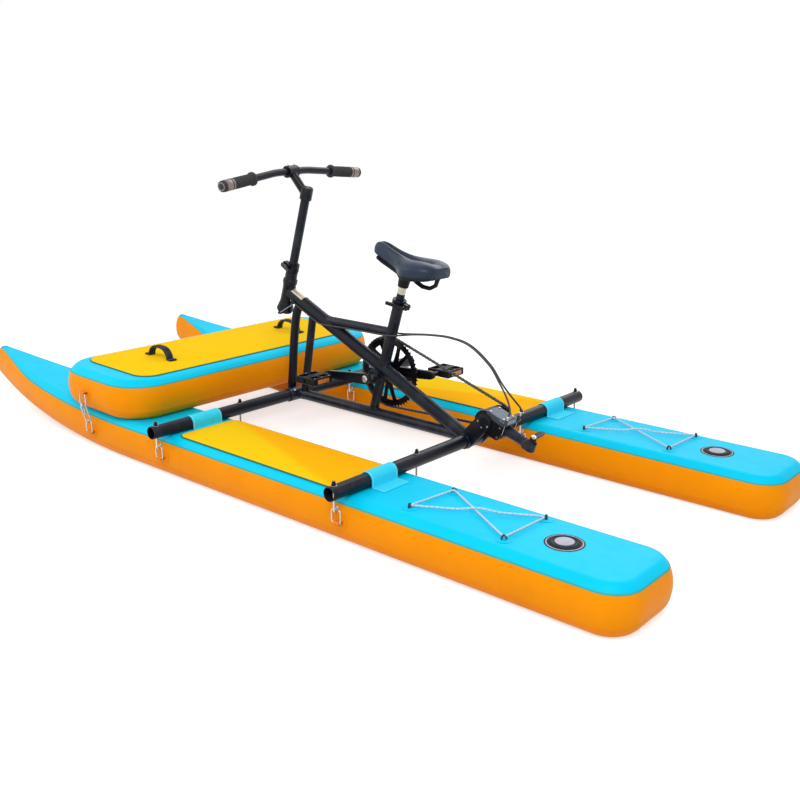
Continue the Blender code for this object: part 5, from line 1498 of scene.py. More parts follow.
def rounded_corners(points: Sequence[Vector], radius: float, step: float) -> list[Vector]:
    """A chain of straight runs whose corners are rounded.

    Args:
        points: The corners.
        radius: The corner radius.
        step: The distance between the points of an arc.

    Returns:
        The points of the rounded chain.
    """
    path = [points[0].copy()]
    for before, corner, after in zip(points, points[1:], points[2:]):
        back, onward = (before - corner).normalized(), (after - corner).normalized()
        half = acos(max(-1, min(1, back.dot(onward)))) / 2
        middle = corner + (back + onward).normalized() * radius / sin(half)
        a, b = (corner + way * (radius / tan(half)) - middle for way in (back, onward))
        count = max(3, round(radius * (pi - 2 * half) / step))
        path += [middle + a.normalized().slerp(b.normalized(), k / count) * radius for k in range(count + 1)]
    path.append(points[-1].copy())
    filled = path[:1]
    for a, b in zip(path, path[1:]):
        pieces = max(1, round((b - a).length / 0.012))
        filled += [a.lerp(b, k / pieces) for k in range(1, pieces + 1)]
    return filled


@dataclass
class Lashing:
    """The strap that holds a cross beam down on a hull."""

    side: Side
    beam_x: float
    shift: float
    width: float
    behind: float
    ahead: float
    finish: Finish
    thickness: float = 0.0022
    deck: float = 0.1253
    wrap: float = 0.0193

    def build(self, name: str) -> None:
        """Make the strap that stands for a solid of that name.

        Args:
            name: The solid's name.
        """
        thin = self.thickness / 2
        reach, low, bend = self.wrap + thin, self.deck + thin, 0.0026
        line = [(-self.behind, low), (-self.behind * 0.7 - reach * 0.3, low), (-reach - bend, low)]
        line += arc((-reach - bend, low + bend), bend, -90, 0, 4)[1:]
        line += arc((0, BEAM_Z), reach, 180, 0, 28)
        line += arc((reach + bend, low + bend), bend, 180, 270, 4)
        line += [(self.ahead * 0.7 + reach * 0.3, low), (self.ahead, low)]
        y = self.side.value * HULL_Y + self.shift
        shape = Shape()
        shape.strip([at(self.beam_x + u, y, w) for u, w in line], TO_PORT, self.width, self.thickness)
        shape.piece(name + "_webbing", "root", self.finish, stands_for=name, slot="hull_webbing")


@dataclass
class BowBoard:
    """The cross board on the bows: skin, pad, handles, tie rings and wire clips."""

    depth: float = 0.422
    length: float = 1.11
    corner: float = 0.13
    tall: float = 0.125
    rail_inset: float = 0.037
    pad: tuple[float, float, float] = (0.33, 0.94, 0.06)
    ring_z: float = 0.0625
    ring_drop: float = 0.04
    stand_off: float = 0.0135
    clip_wire: float = 0.0025
    clip_bend: float = 0.0075
    handle_y: float = 0.285
    handle_span: float = 0.137
    handle_rise: float = 0.033
    handle_width: float = 0.026
    handle_thick: float = 0.006

    def placing(self) -> Matrix:
        """The board's own frame."""
        rotation = Matrix(((0.99978, 0, -0.02103), (0, 1, 0), (0.02103, 0, 0.99978)))
        return moved(BOARD_X, 0, 0.12896) @ rotation.to_4x4()

    def body(self) -> InflatedBody:
        """The board's own form.

        Returns:
            The inflated body.
        """
        u, v = self.depth / 2 - self.corner, self.length / 2 - self.corner
        points = [(-self.depth / 2, v * step / 14) for step in range(14)]
        points += arc((-u, v), self.corner, 180, 90, 18) + arc((u, v), self.corner, 90, 0, 18)
        points += [(self.depth / 2, v * step / 14) for step in range(13, -1, -1)]
        return InflatedBody(points, lambda x: 0.0, lambda x: self.tall, lambda x: self.rail_inset, self.placing())

    def handle(self, side: Side) -> None:
        """Make a padded carrying handle between two sewn feet.

        Args:
            side: The side that it is on.
        """
        half, thin = self.handle_span / 2, self.handle_thick / 2
        crown = [(-0.62, 0.42), (-0.45, 0.82), (-0.22, 0.98), (0, 1), (0.22, 0.98), (0.45, 0.82), (0.62, 0.42)]
        knots = [(-half, 0), (-half + 0.022, 0), *((u * half, v * self.handle_rise) for u, v in crown),
                 (half - 0.022, 0), (half, 0)]
        path = smooth_path([(u, 0, v) for u, v in knots], 0.004)
        place = self.placing() @ moved(0, side.value * self.handle_y, self.tall + GAP + 0.004 + GAP)
        line = [place @ (at(p.x, 0, max(0, p.z)) + at(-along.z, 0, along.x) * thin)
                for p, along in zip(path, directions(path))]
        across = place.to_3x3() @ TO_PORT
        shape = Shape()
        shape.strip(line, across, self.handle_width, self.handle_thick * 0.8)
        grip = [p for p in line if (p - line[len(line) // 2]).length < 0.034]
        shape.strip(grip, across, self.handle_width * 0.78, self.handle_thick * 1.25)
        shape.piece(side.word + "_board_handle_webbing", "root", BLACK_WEB,
                    stands_for=side.word + "_board_handle", slot="handle_webbing")

    def clip(self, side: Side, bow_half_width: float) -> None:
        """Make a closed wire clip round a hull's ring and the board's ring.

        Args:
            side: The side that it is on.
            bow_half_width: Half the hull's width there.
        """
        upper = self.placing() @ at(CLIP_X - BOARD_X, side.value * (self.length / 2 + self.stand_off),
                                    self.ring_z - self.ring_drop)
        lower = at(CLIP_X, side.value * (HULL_Y + bow_half_width + self.stand_off), 0.1)
        low, high = Vector((lower.y, lower.z)), Vector((upper.y, upper.z))
        inward = (high - low).normalized() * (self.clip_bend - 0.002 - self.clip_wire - GAP)
        outline = band_outline(low + inward, self.clip_bend, high - inward, self.clip_bend, 12)
        loop = [at(lower.x, y, z) for y, z in outline]
        shape = Shape()
        shape.tube(loop, self.clip_wire, 12, closed=True)
        gate = [p for p in loop if (p.y - (lower.y + upper.y) / 2) * side.value > 0]
        start, end = max(gate, key=lambda p: p.z), min(gate, key=lambda p: p.z)
        shape.tube([start.lerp(end, share) for share in (0.22, 0.36, 0.6)],
                   [self.clip_wire * size for size in (1.25, 1.45, 1.25)], 14)
        shape.piece(side.word + "_board_clip_wire", "root", BRIGHT_STEEL, stands_for=side.word + "_board_clip",
                    slot="stainless")

    def build(self, hull: Hull) -> None:
        """Make the board.

        Args:
            hull: A hull, for its width at the clips.
        """
        body, rings = self.body(), Shape()
        body.skin("bow_board_skin", "bow_board")
        body.tapes("bow_board_tapes")
        for way in (1, -1):
            TieRing(body, CLIP_X - BOARD_X, self.length / 2, way, self.ring_z,
                    self.ring_z - self.ring_drop).add_to(rings)
        rings.piece("bow_board_tie_rings", "root", ORANGE_TAPE, ORANGE_WEB, BRIGHT_STEEL, slot="hull_webbing",
                    placing=body.placing)
        foam = FoamPad(*self.pad, body.placing @ moved(0, 0, self.tall + GAP), YELLOW_FOAM)
        foam.build("bow_board_foam", "bow_board_pad")
        for side in Side:
            self.handle(side)
            self.clip(side, hull.half_width(CLIP_X))
        LOG.info("bow board")


# Frame


@dataclass
class Wall:
    """A round surface that a tube ends on: a point of its axis, its direction and its radius."""

    point: Vector
    along: Vector
    radius: float


@dataclass
class Tube:
    """A straight frame tube from one point to another."""

    start: Vector
    end: Vector
    radius: float

    @property
    def along(self) -> Vector:
        """The tube's direction."""
        return (self.end - self.start).normalized()

    @property
    def wall(self) -> Wall:
        """The tube's surface."""
        return Wall(self.start, self.along, self.radius)

    def met(self, point: Vector, along: Vector) -> Vector:
        """Where a line of the middle plane crosses the tube's axis.

        Args:
            point: A point of the line.
            along: The line's direction.

        Returns:
            The crossing.
        """
        run = self.end - self.start
        side = at(-run.z, 0, run.x)
        return point + along * ((self.start - point).dot(side) / along.dot(side))


def cope(joint: Vector, along: Vector, radius: float, wall: Wall, steps: int) -> list[Vector]:
    """The line on which a tube ends on a round surface.

    Args:
        joint: The point where the tube's axis meets the surface's.
        along: The tube's direction, towards the joint.
        radius: Its radius.
        wall: The surface.
        steps: How many points the line has.

    Returns:
        The points.
    """
    first = along.orthogonal().normalized()
    second = along.cross(first)
    flat = along - wall.along * along.dot(wall.along)
    line = []
    for a in round_angles(steps):
        start = joint + radius * (cos(a) * first + sin(a) * second)
        gap = start - wall.point
        gap -= wall.along * gap.dot(wall.along)
        qa, qb = flat.dot(flat), -2 * flat.dot(gap)
        inside = max(0, qb * qb - 4 * qa * (gap.dot(gap) - wall.radius ** 2))
        line.append(start - along * (-qb + sqrt(inside)) / (2 * qa))
    return line


def bead(shape: Shape, joint: Vector, along: Vector, radius: float, wall: Wall) -> None:
    """Add a rippled weld bead where a tube ends on a round surface.

    Args:
        shape: The shape that it goes in.
        joint: The point where the tube's axis meets the surface's.
        along: The tube's direction, towards the joint.
        radius: Its radius.
        wall: The surface.
    """
    size, steps, ripples = 0.0019, 72, 15
    radii = [size * (1.0 + 0.16 * sin(2 * pi * step / steps * ripples)) for step in range(steps)]
    shape.tube(cope(joint, along, radius, wall, steps), radii, 8, closed=True)


@dataclass
class MainFrame:
    """The welded frame with its sleeves, bracket and cable stops, and the cross beams with their hooks."""

    beam_radius: float = 0.019
    beam_wall: float = 0.002
    beam_half: float = 0.58
    sleeve_radius: float = 0.0222
    sleeve_half: float = 0.045
    head_lean: float = radians(16.4)
    head_length: float = 0.0938

    def tubes(self) -> None:
        """Make the welded frame."""
        front, rear = BEAM_X
        main = Tube(at(-0.525, 0, 0.1467), at(0.195, 0, 0.48), 0.02)
        keel = Tube(at(rear, 0, BEAM_Z), at(front, 0, BEAM_Z), 0.017)
        lean, level = leaning(SEAT_LEAN), at(0, 0, 0.406)
        crossing = main.met(SEAT_TOP, lean)
        seat = Tube(crossing, SEAT_TOP, 0.017)
        strut = Tube(keel.met(SEAT_TOP, lean), crossing, 0.0145)
        top = Tube(seat.met(level, AHEAD), main.met(level, AHEAD), 0.0145)
        brace = Tube(at(front - self.sleeve_radius - 0.0081, 0, 0.131), at(0.084, 0, 0.425), 0.0125)
        shape = Shape()
        for tube in (keel, seat, strut, top, brace):
            shape.tube([tube.start, tube.start.lerp(tube.end, 0.5), tube.end], tube.radius, 40)
        head_along = leaning(self.head_lean)
        end = cope(main.end, main.along, main.radius, Wall(HEAD_FOOT, head_along, 0.0202), 48)
        length = (main.end - main.start).length
        rear_end = [main.start + (p - main.end) - main.along * (p - main.end).dot(main.along) for p in end]
        index = shape.grid([rear_end, [p + main.along * length / 2 for p in rear_end], end], wrap=True)
        shape.cap(index[0][::-1])
        shape.turned(mm((14.5, -4), (14.5, 0.4), (16.5, 0.6), (17.2, -1), (17.2, -4)), aimed(SEAT_TOP, lean), 40)
        foot = front + self.beam_radius + 0.0032 + 0.0091
        post = smooth_path([(foot, 0, 0.129), (foot - 0.01, 0, 0.215), (foot - 0.02, 0, 0.32),
                            (0.164, 0, 0.395), (0.151, 0, 0.43), (0.132, 0, 0.455)], 0.012)
        shape.tube(post, 0.014, 36)
        self.turned_parts(shape)
        front_sleeve, rear_sleeve = (Wall(at(x, 0, BEAM_Z), TO_PORT, self.sleeve_radius) for x in BEAM_X)
        for joint, along, radius, wall in (
                (crossing, -seat.along, seat.radius, main.wall),
                (crossing, strut.along, strut.radius, main.wall),
                (strut.start, -strut.along, strut.radius, keel.wall),
                (top.end, top.along, top.radius, main.wall), (top.start, -top.along, top.radius, seat.wall),
                (keel.start, -keel.along, keel.radius, rear_sleeve),
                (keel.end, keel.along, keel.radius, front_sleeve),
                (main.end, main.along, main.radius, Wall(HEAD_FOOT, head_along, 0.0205)),
                (brace.end, brace.along, brace.radius, main.wall),
                (brace.start, -brace.along, brace.radius, front_sleeve),
                (post[-1], (post[-1] - post[-2]).normalized(), 0.014, main.wall)):
            bead(shape, joint, along, radius, wall)
        self.brackets(shape)
        shape.piece("frame_tubes", "root", FRAME_BLACK, stands_for="main_frame", slot="frame_paint")

    def turned_parts(self, shape: Shape) -> None:
        """Add the head tube, the bottom bracket shell and the beams' sleeves.

        Args:
            shape: The frame's shape.
        """
        tall = self.head_length
        shape.turned([(0.017, 0), (0.0262, 0), (0.027, 0.001), (0.027, 0.007), (0.0262, 0.0095),
                      (0.0212, 0.03), (0.0206, 0.034), (0.0205, 0.038), (0.0205, tall - 0.0125),
                      (0.0212, tall - 0.0115), (0.0212, tall - 0.001), (0.0204, tall), (0.017, tall)],
                     moved(*HEAD_FOOT) @ turn("Y", -self.head_lean), 48)
        shape.turned(mm((0, 0), (19.6, 0), (21, 1.2), (21, 66.8), (19.6, 68), (0, 68)),
                     aimed(at(SHELL[0], -0.034, SHELL[1]), TO_PORT), 44)
        for x in BEAM_X:
            shape.turned(mm((19.4, 0), (21.6, 0), (22.2, 0.7), (22.2, 89.3), (21.6, 90), (19.4, 90), (19.4, 0)),
                         aimed(at(x, -self.sleeve_half, BEAM_Z), TO_PORT), 48)

    def brackets(self, shape: Shape) -> None:
        """Add the drive's cheeks and the cable stops.

        Args:
            shape: The frame's shape.
        """
        outline = band_outline(Vector((BEAM_X[1], BEAM_Z)), 0.024, Vector(DRIVE), 0.024, 20)
        for side in Side:
            shape.plate(outline, 0.004, moved(0, side.value * 0.03, 0) @ UPRIGHT, edge=0.0007)
            stop = at(0.149, side.value * 0.0205, 0.4467)
            onward = (at(0.1, side.value * 0.0207, 0.424) - stop).normalized()
            shape.turned(mm((0, 0), (4.5, 0), (5.6, 1), (5.6, 10.5), (4.8, 11.8), (3.8, 13.6), (0, 13.7)),
                         aimed(stop - onward * 0.014, onward), 24)

    def plate(self) -> None:
        """Make a small bare plate wrapped on the upper end of the main tube."""
        start, end = at(0.126, 0, 0.448), at(0.174, 0, 0.4703)
        length = (end - start).length
        angles = [radians(40 + 110 * step / 22) for step in range(23)]
        shape = Shape()
        for lift in (0.0204, 0.0208):
            shape.grid([[at(lift * cos(a), lift * sin(a), length * share) for a in angles]
                        for share in (0, 0.03, 0.5, 0.97, 1)], placing=aimed(start, end - start))
        shape.piece("frame_plate", "root", PLATE_METAL)

    def beams(self) -> None:
        """Make the two cross beams with open ends."""
        outer, inner, length = self.beam_radius, self.beam_radius - self.beam_wall, 2 * self.beam_half
        profile = [(inner, 0.0002), (inner + 0.0004, 0), (outer - 0.0006, 0), (outer, 0.0007)]
        profile += [(outer, length * share) for share in (0.2, 0.4, 0.6, 0.8)]
        profile += [(outer, length - 0.0007), (outer - 0.0006, length), (inner + 0.0004, length),
                    (inner, length - 0.0002), (inner, length * 0.5), (inner, 0.0002)]
        for word, x in zip(("front", "rear"), BEAM_X):
            shape = Shape()
            shape.turned(profile, aimed(at(x, -self.beam_half, BEAM_Z), TO_PORT), 48)
            shape.piece(word + "_beam_tube", "root", FRAME_BLACK, stands_for=word + "_beam", slot="frame_paint")

    def hook(self, name: str, x: float, y: float, inward: int) -> None:
        """Make a threaded hook bolt with its nut and washer.

        Args:
            name: The solid's name.
            x: Its place along the craft.
            y: Its place across.
            inward: Which way the hook turns, as the sign of Y.
        """
        eye, bend, wire, thread = 0.1, 0.0065, 0.003, 0.0125
        crown = BEAM_Z + self.beam_radius
        top = crown + 0.005 + 0.007
        foot = top - thread
        line = [at(x, y, top - thread * step / 59) for step in range(60)]
        line += [at(x, y, foot - (foot - eye) * k / 6) for k in range(1, 7)]
        line += [at(x, y + inward * (bend - v), eye + w) for v, w in arc((0, 0), bend, 0, -180, 16)[1:]]
        line += [at(x, y + inward * 2 * bend, eye + rise) for rise in (0.003, 0.006)]
        radii = [wire * 0.86, *(wire * (0.95 + 0.05 * cos(step * 2.1)) for step in range(1, 60))]
        radii += [wire] * (len(line) - len(radii) - 1) + [wire * 0.6]
        shape = Shape()
        shape.tube(line, radii, 14)
        seat = moved(x, y, crown - 0.0006)
        shape.turned(mm((0, 0), (8.4, 0), (8.6, 0.4), (8.4, 1), (0, 1)), seat, 32)
        shape.turned(mm((0, 1), (5.6, 1), (6, 1.5), (6, 5), (5.4, 5.6), (0, 5.6)), seat, 6, 1)
        shape.turned(mm((0, 5.6), (4.8, 5.6), (4.6, 9), (3.8, 11.5), (2.2, 12.8), (0, 13.2)), seat, 24, 1)
        shape.piece(name + "_bolt", "root", BRIGHT_STEEL, BLACK_PLASTIC, stands_for=name, slot="stainless", sharp=30)

    def hooks(self) -> None:
        """Make the eight hook bolts."""
        reach = 0.275 / 2 + 0.0135 + 0.0065
        for side in Side:
            for word, way in (("outer", side.value), ("inner", -side.value)):
                for place, x in zip(("front", "rear"), BEAM_X):
                    self.hook(f"{side.word}_{word}_{place}_hook", x, side.value * HULL_Y + way * reach, -way)

    def build(self) -> None:
        """Make the frame, the beams and the hooks."""
        self.tubes()
        self.plate()
        self.beams()
        self.hooks()
        dress("front_button", BRIGHT_STEEL, 0.0005)
        LOG.info("frame, beams and hooks")


# Steering


@dataclass
class Steering:
    """The steerer, the column, its clamp and lever, the stem and the handlebar with its grips."""

    column_top: float = 0.404
    stem_reach: float = 0.0747
    stem_rise: float = 0.0332
    bar_radius: float = 0.011
    bar_half: float = 0.308
    bar_straight: float = 0.07
    sweep: float = 0.02
    drop: float = 0.017
    grip_length: float = 0.132
    grip_radius: float = 0.0165
    flange: float = 0.0205

    def pivot(self) -> Matrix:
        """The steering axis as a frame, turned to port as it rests."""
        columns = (at(0.95609, 0.08194, 0.28139), at(-0.0786, 0.99664, -0.02313), at(-0.28234, 0, 0.95931))
        return moved(*HEAD_FOOT) @ Matrix(columns).transposed().to_4x4()

    @property
    def clamp(self) -> Vector:
        """The middle of the handlebar."""
        return at(self.stem_reach, 0, self.column_top + self.stem_rise)

    def bar_point(self, side: int, y: float) -> Vector:
        """A point on the outer stretch of the handlebar."""
        share = (y - self.bar_straight) / (self.bar_half - self.bar_straight)
        return at(self.stem_reach - self.sweep * share, side * y, self.column_top + self.stem_rise - self.drop * share)

    def handlebar(self) -> None:
        """Make the bar, straight in its clamp and swept outside it."""
        knots = []
        for side in (-1, 1):
            half = [self.bar_point(side, y) for y in (self.bar_half - 0.001, 0.2, self.bar_straight + 0.03,
                                                      self.bar_straight + 0.01)]
            half += [self.clamp + at(0, side * y, 0) for y in (self.bar_straight - 0.012, 0.03)]
            knots += half if side < 0 else half[::-1]
        shape = Shape()
        shape.tube(smooth_path(knots, 0.01), self.bar_radius, 32)
        shape.piece("handlebar_tube", "column", FRAME_BLACK, stands_for="handlebar", slot="frame_paint",
                    placing=self.pivot())

    def grip(self, hand: Hand) -> None:
        """Make a rubber grip: flange, waisted ribs, a palm swell and an end cap.

        Args:
            hand: The rider's side.
        """
        end = self.bar_point(hand.value, self.bar_half)
        along = (end - self.bar_point(hand.value, self.bar_straight)).normalized()
        foot = end - along * self.grip_length
        profile = [(self.bar_radius + 0.0002, 0), (self.flange - 0.001, 0), (self.flange, 0.001),
                   (self.flange, 0.005), (self.flange - 0.001, 0.0062)]
        r, far = self.grip_radius, self.grip_length
        for step in range(20):
            height, swell = 0.0085 + 0.005 * step, 0.0006 * sin(pi * step / 19)
            profile += [(r - drop + swell, height + along_rib) for drop, along_rib in
                        ((0.0016, 0), (0.0002, 0.001), (0.0002, 0.0034), (0.0016, 0.0044))]
        profile += [(r, 0.1105), (r, far), (r - 0.001, far + 0.003), (r - 0.0035, far + 0.004), (0, far + 0.004)]
        shape = Shape()
        shape.turned(profile, aimed(foot, along), 40)
        for low, high in ((0.092, 0.0985), (0.102, 0.1255)):
            shape.turned([(r + 0.0003, 0), (r + 0.0006, 0.001), (r + 0.0006, high - low - 0.001),
                          (r + 0.0003, high - low)], aimed(foot + along * low, along), 40, 1)
        shape.turned([(r - 0.0038, -0.0002), (r - 0.0038, 0.0005), (r - 0.0075, 0.0005), (r - 0.0075, -0.0002)],
                     aimed(end + along * 0.004, along), 40, 1)
        shape.piece(hand.word + "_grip_rubber", "column", GRIP_RUBBER, GRIP_CLAMP,
                    stands_for=hand.word + "_grip", slot="grip_rubber", placing=self.pivot(), sharp=50)

    def bolts(self) -> None:
        """Make the socket bolts of the stem's bar clamp and its cap."""
        shape = Shape()
        front = at(0.86, 0, 0.51).normalized()
        for y in (-0.014, 0.014):
            for rise in (-0.0125, 0.0125):
                foot = self.clamp + front * 0.0125 + at(-front.z, 0, front.x) * rise + at(0, y, 0)
                shape.turned(mm((0, 0), (3.4, 0), (3.4, 5.2), (3, 5.8), (1.8, 5.8), (1.8, 3.6), (0, 3.6)),
                             aimed(foot, front), 20)
        shape.turned(mm((0, 0), (4.2, 0), (4.2, 2.4), (3.6, 3), (2, 3), (2, 1.2), (0, 1.2)),
                     moved(0, 0, self.column_top + 0.0078), 24)
        shape.piece("stem_bolts", "column", BRIGHT_STEEL, placing=self.pivot())

    def build(self) -> None:
        """Make everything that turns with the column."""
        dress("steerer_tube", FRAME_BLACK)
        dress("column_clamp", DEEP_BLACK, 0.0006)
        dress("column_lever", DEEP_BLACK, 0.0005)
        dress("column_tube", FRAME_BLACK, 0.0005)
        dress("stem", DEEP_BLACK)
        self.handlebar()
        for hand in Hand:
            self.grip(hand)
        self.bolts()
        LOG.info("steering column and handlebar")


# Saddle


@dataclass
class Saddle:
    """The saddle's padded cover and shell, its post, clamp and lever."""

    origin: tuple[float, float] = (-0.3, 0.59)
    pitch: float = radians(5)
    rear: float = -0.127
    nose: float = 0.117
    channel: float = 0.012
    skirt: float = 0.013
    stations: tuple[tuple[float, float, float, float], ...] = (
        (0, 0.042, 0.013, 0.036), (0.07, 0.064, 0.009, 0.047), (0.22, 0.076, 0.004, 0.049),
        (0.36, 0.076, 0, 0.046), (0.46, 0.06, 0.001, 0.047), (0.56, 0.036, 0.005, 0.05),
        (0.7, 0.026, 0.012, 0.058), (0.86, 0.023, 0.0235, 0.072), (0.96, 0.021, 0.034, 0.075),
        (1, 0.013, 0.043, 0.062))

    def cage(self) -> list[list[Vector]]:
        """The cage of the plain cushion.

        Returns:
            Its rings, from the rear to the nose.
        """
        rings = []
        for share, wide, lift, tall in self.stations:
            x = self.rear + (self.nose - self.rear) * share
            dip = self.channel * sin(pi * share) ** 0.5
            drop = self.skirt * max(0, min(1, (0.62 - share) / 0.18)) / (tall - lift)
            section = [(0, 1.0 - dip / tall), (0.28, 1), (0.62, 1.01), (0.95, 0.72), (1, 0.34), (0.93, -drop), (0, 0)]
            left = [at(x, v * wide, lift + w * (tall - lift)) for v, w in section]
            rings.append(left + [at(x, -p.y, p.z) for p in left[-2:0:-1]])
        return rings

    def eased(self, points: Sequence[Vector], place: float, closed: bool) -> Vector:
        """A point of the soft curve that a cage's points draw.

        Args:
            points: The cage's points.
            place: The place along them, in steps.
            closed: Whether they form a ring.

        Returns:
            The point on the curve.
        """
        count, step = len(points), floor(place)
        t = place - step
        if closed:
            near = [points[(step + k) % count] for k in (-1, 0, 1, 2)]
        else:
            held = [2 * points[0] - points[1], *points, *[2 * points[-1] - points[-2]] * 2]
            near = held[step:step + 4]
        weights = ((1 - t) ** 3, 3 * t ** 3 - 6 * t ** 2 + 4, -3 * t ** 3 + 3 * t ** 2 + 3 * t + 1, t ** 3)
        return sum((point * weight for point, weight in zip(near, weights)), Vector()) / 6

    def cover(self) -> None:
        """Make the padded cover with its sunk channel and sewn lines, and its edge piping."""
        cage = self.cage()
        count, around = len(cage), len(cage[0])
        rows, marks = [], []
        steps, columns = 96, 120
        for i in range(steps + 1):
            ring = [self.eased(line, (count - 1) * i / steps, False) for line in zip(*cage)]
            row, mark = [], []
            for j in range(columns):
                turned_by = around * j / columns
                point = self.eased(ring, turned_by, True)
                share = (point.x - self.rear) / (self.nose - self.rear)
                upper = turned_by < 3.2 or turned_by > around - 3.2
                window = max(0, min(1, (share - 0.1) * 9)) * max(0, min(1, (0.93 - share) * 9))
                if upper:
                    sunk = 0.0035 * exp(-(point.y / 0.0062) ** 4) * window
                    swell = 0.0012 * window * exp(-((abs(point.y) - 0.016) / 0.008) ** 2)
                    seam = abs(abs(point.y) - 0.0098) < 0.0007 and window > 0.4
                    point.z += swell - sunk - (0.0005 if seam else 0.0)
                mark.append(1 if upper and abs(point.y) < 0.0072 and window > 0.5 else 0)
                row.append(point)
            rows.append(row)
            marks.append(mark)
        shape, rim = Shape(), Shape()
        index = shape.grid(rows, wrap=True, finish=lambda i, j: marks[i][j])
        shape.cap(index[0][::-1])
        shape.cap(index[-1])
        place = moved(self.origin[0], 0, self.origin[1]) @ turn("Y", -self.pitch)
        piece = shape.piece("saddle_cover", "seat", SADDLE_SKIN, SADDLE_GROOVE, stands_for="saddle_cushion",
                            slot="saddle_cover", placing=place, sharp=75)
        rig.padded(piece, fill=0.9)
        low = around / 2 - 1.45
        for way, turned_by in ((1, low), (-1, around - low)):
            line = []
            for i in range(3, steps - 1):
                ring = [self.eased(strand, (count - 1) * i / steps, False) for strand in zip(*cage)]
                line.append(place @ (self.eased(ring, turned_by, True) + at(0, way * 0.0002, -0.0002)))
            rim.tube(line, 0.0011, 8)
        rim.piece("saddle_piping", "seat", BLACK_PLASTIC)

    def post(self) -> None:
        """Make the seat post, black below and bare where it enters the hub."""
        place = aimed(SEAT_TOP, leaning(SEAT_LEAN))
        shape = Shape()
        shape.turned(mm((0, -112), (12, -112), (12.5, -111.5), (12.5, 20)), place, 40, 0)
        shape.turned(mm((12.5, 20), (12.45, 20.2), (12.45, 65.5), (0, 65.5)), place, 40, 1)
        shape.piece("seat_post_tube", "seat", FRAME_BLACK, PLATE_METAL, stands_for="seat_post", slot="stainless")

    def build(self) -> None:
        """Make the seat."""
        dress("seat_clamp", DEEP_BLACK, 0.0006)
        dress("seat_lever", DEEP_BLACK, 0.0005)
        dress("saddle_base", BLACK_PLASTIC)
        self.post()
        self.cover()
        LOG.info("saddle")


# Pedals, cranks and chain


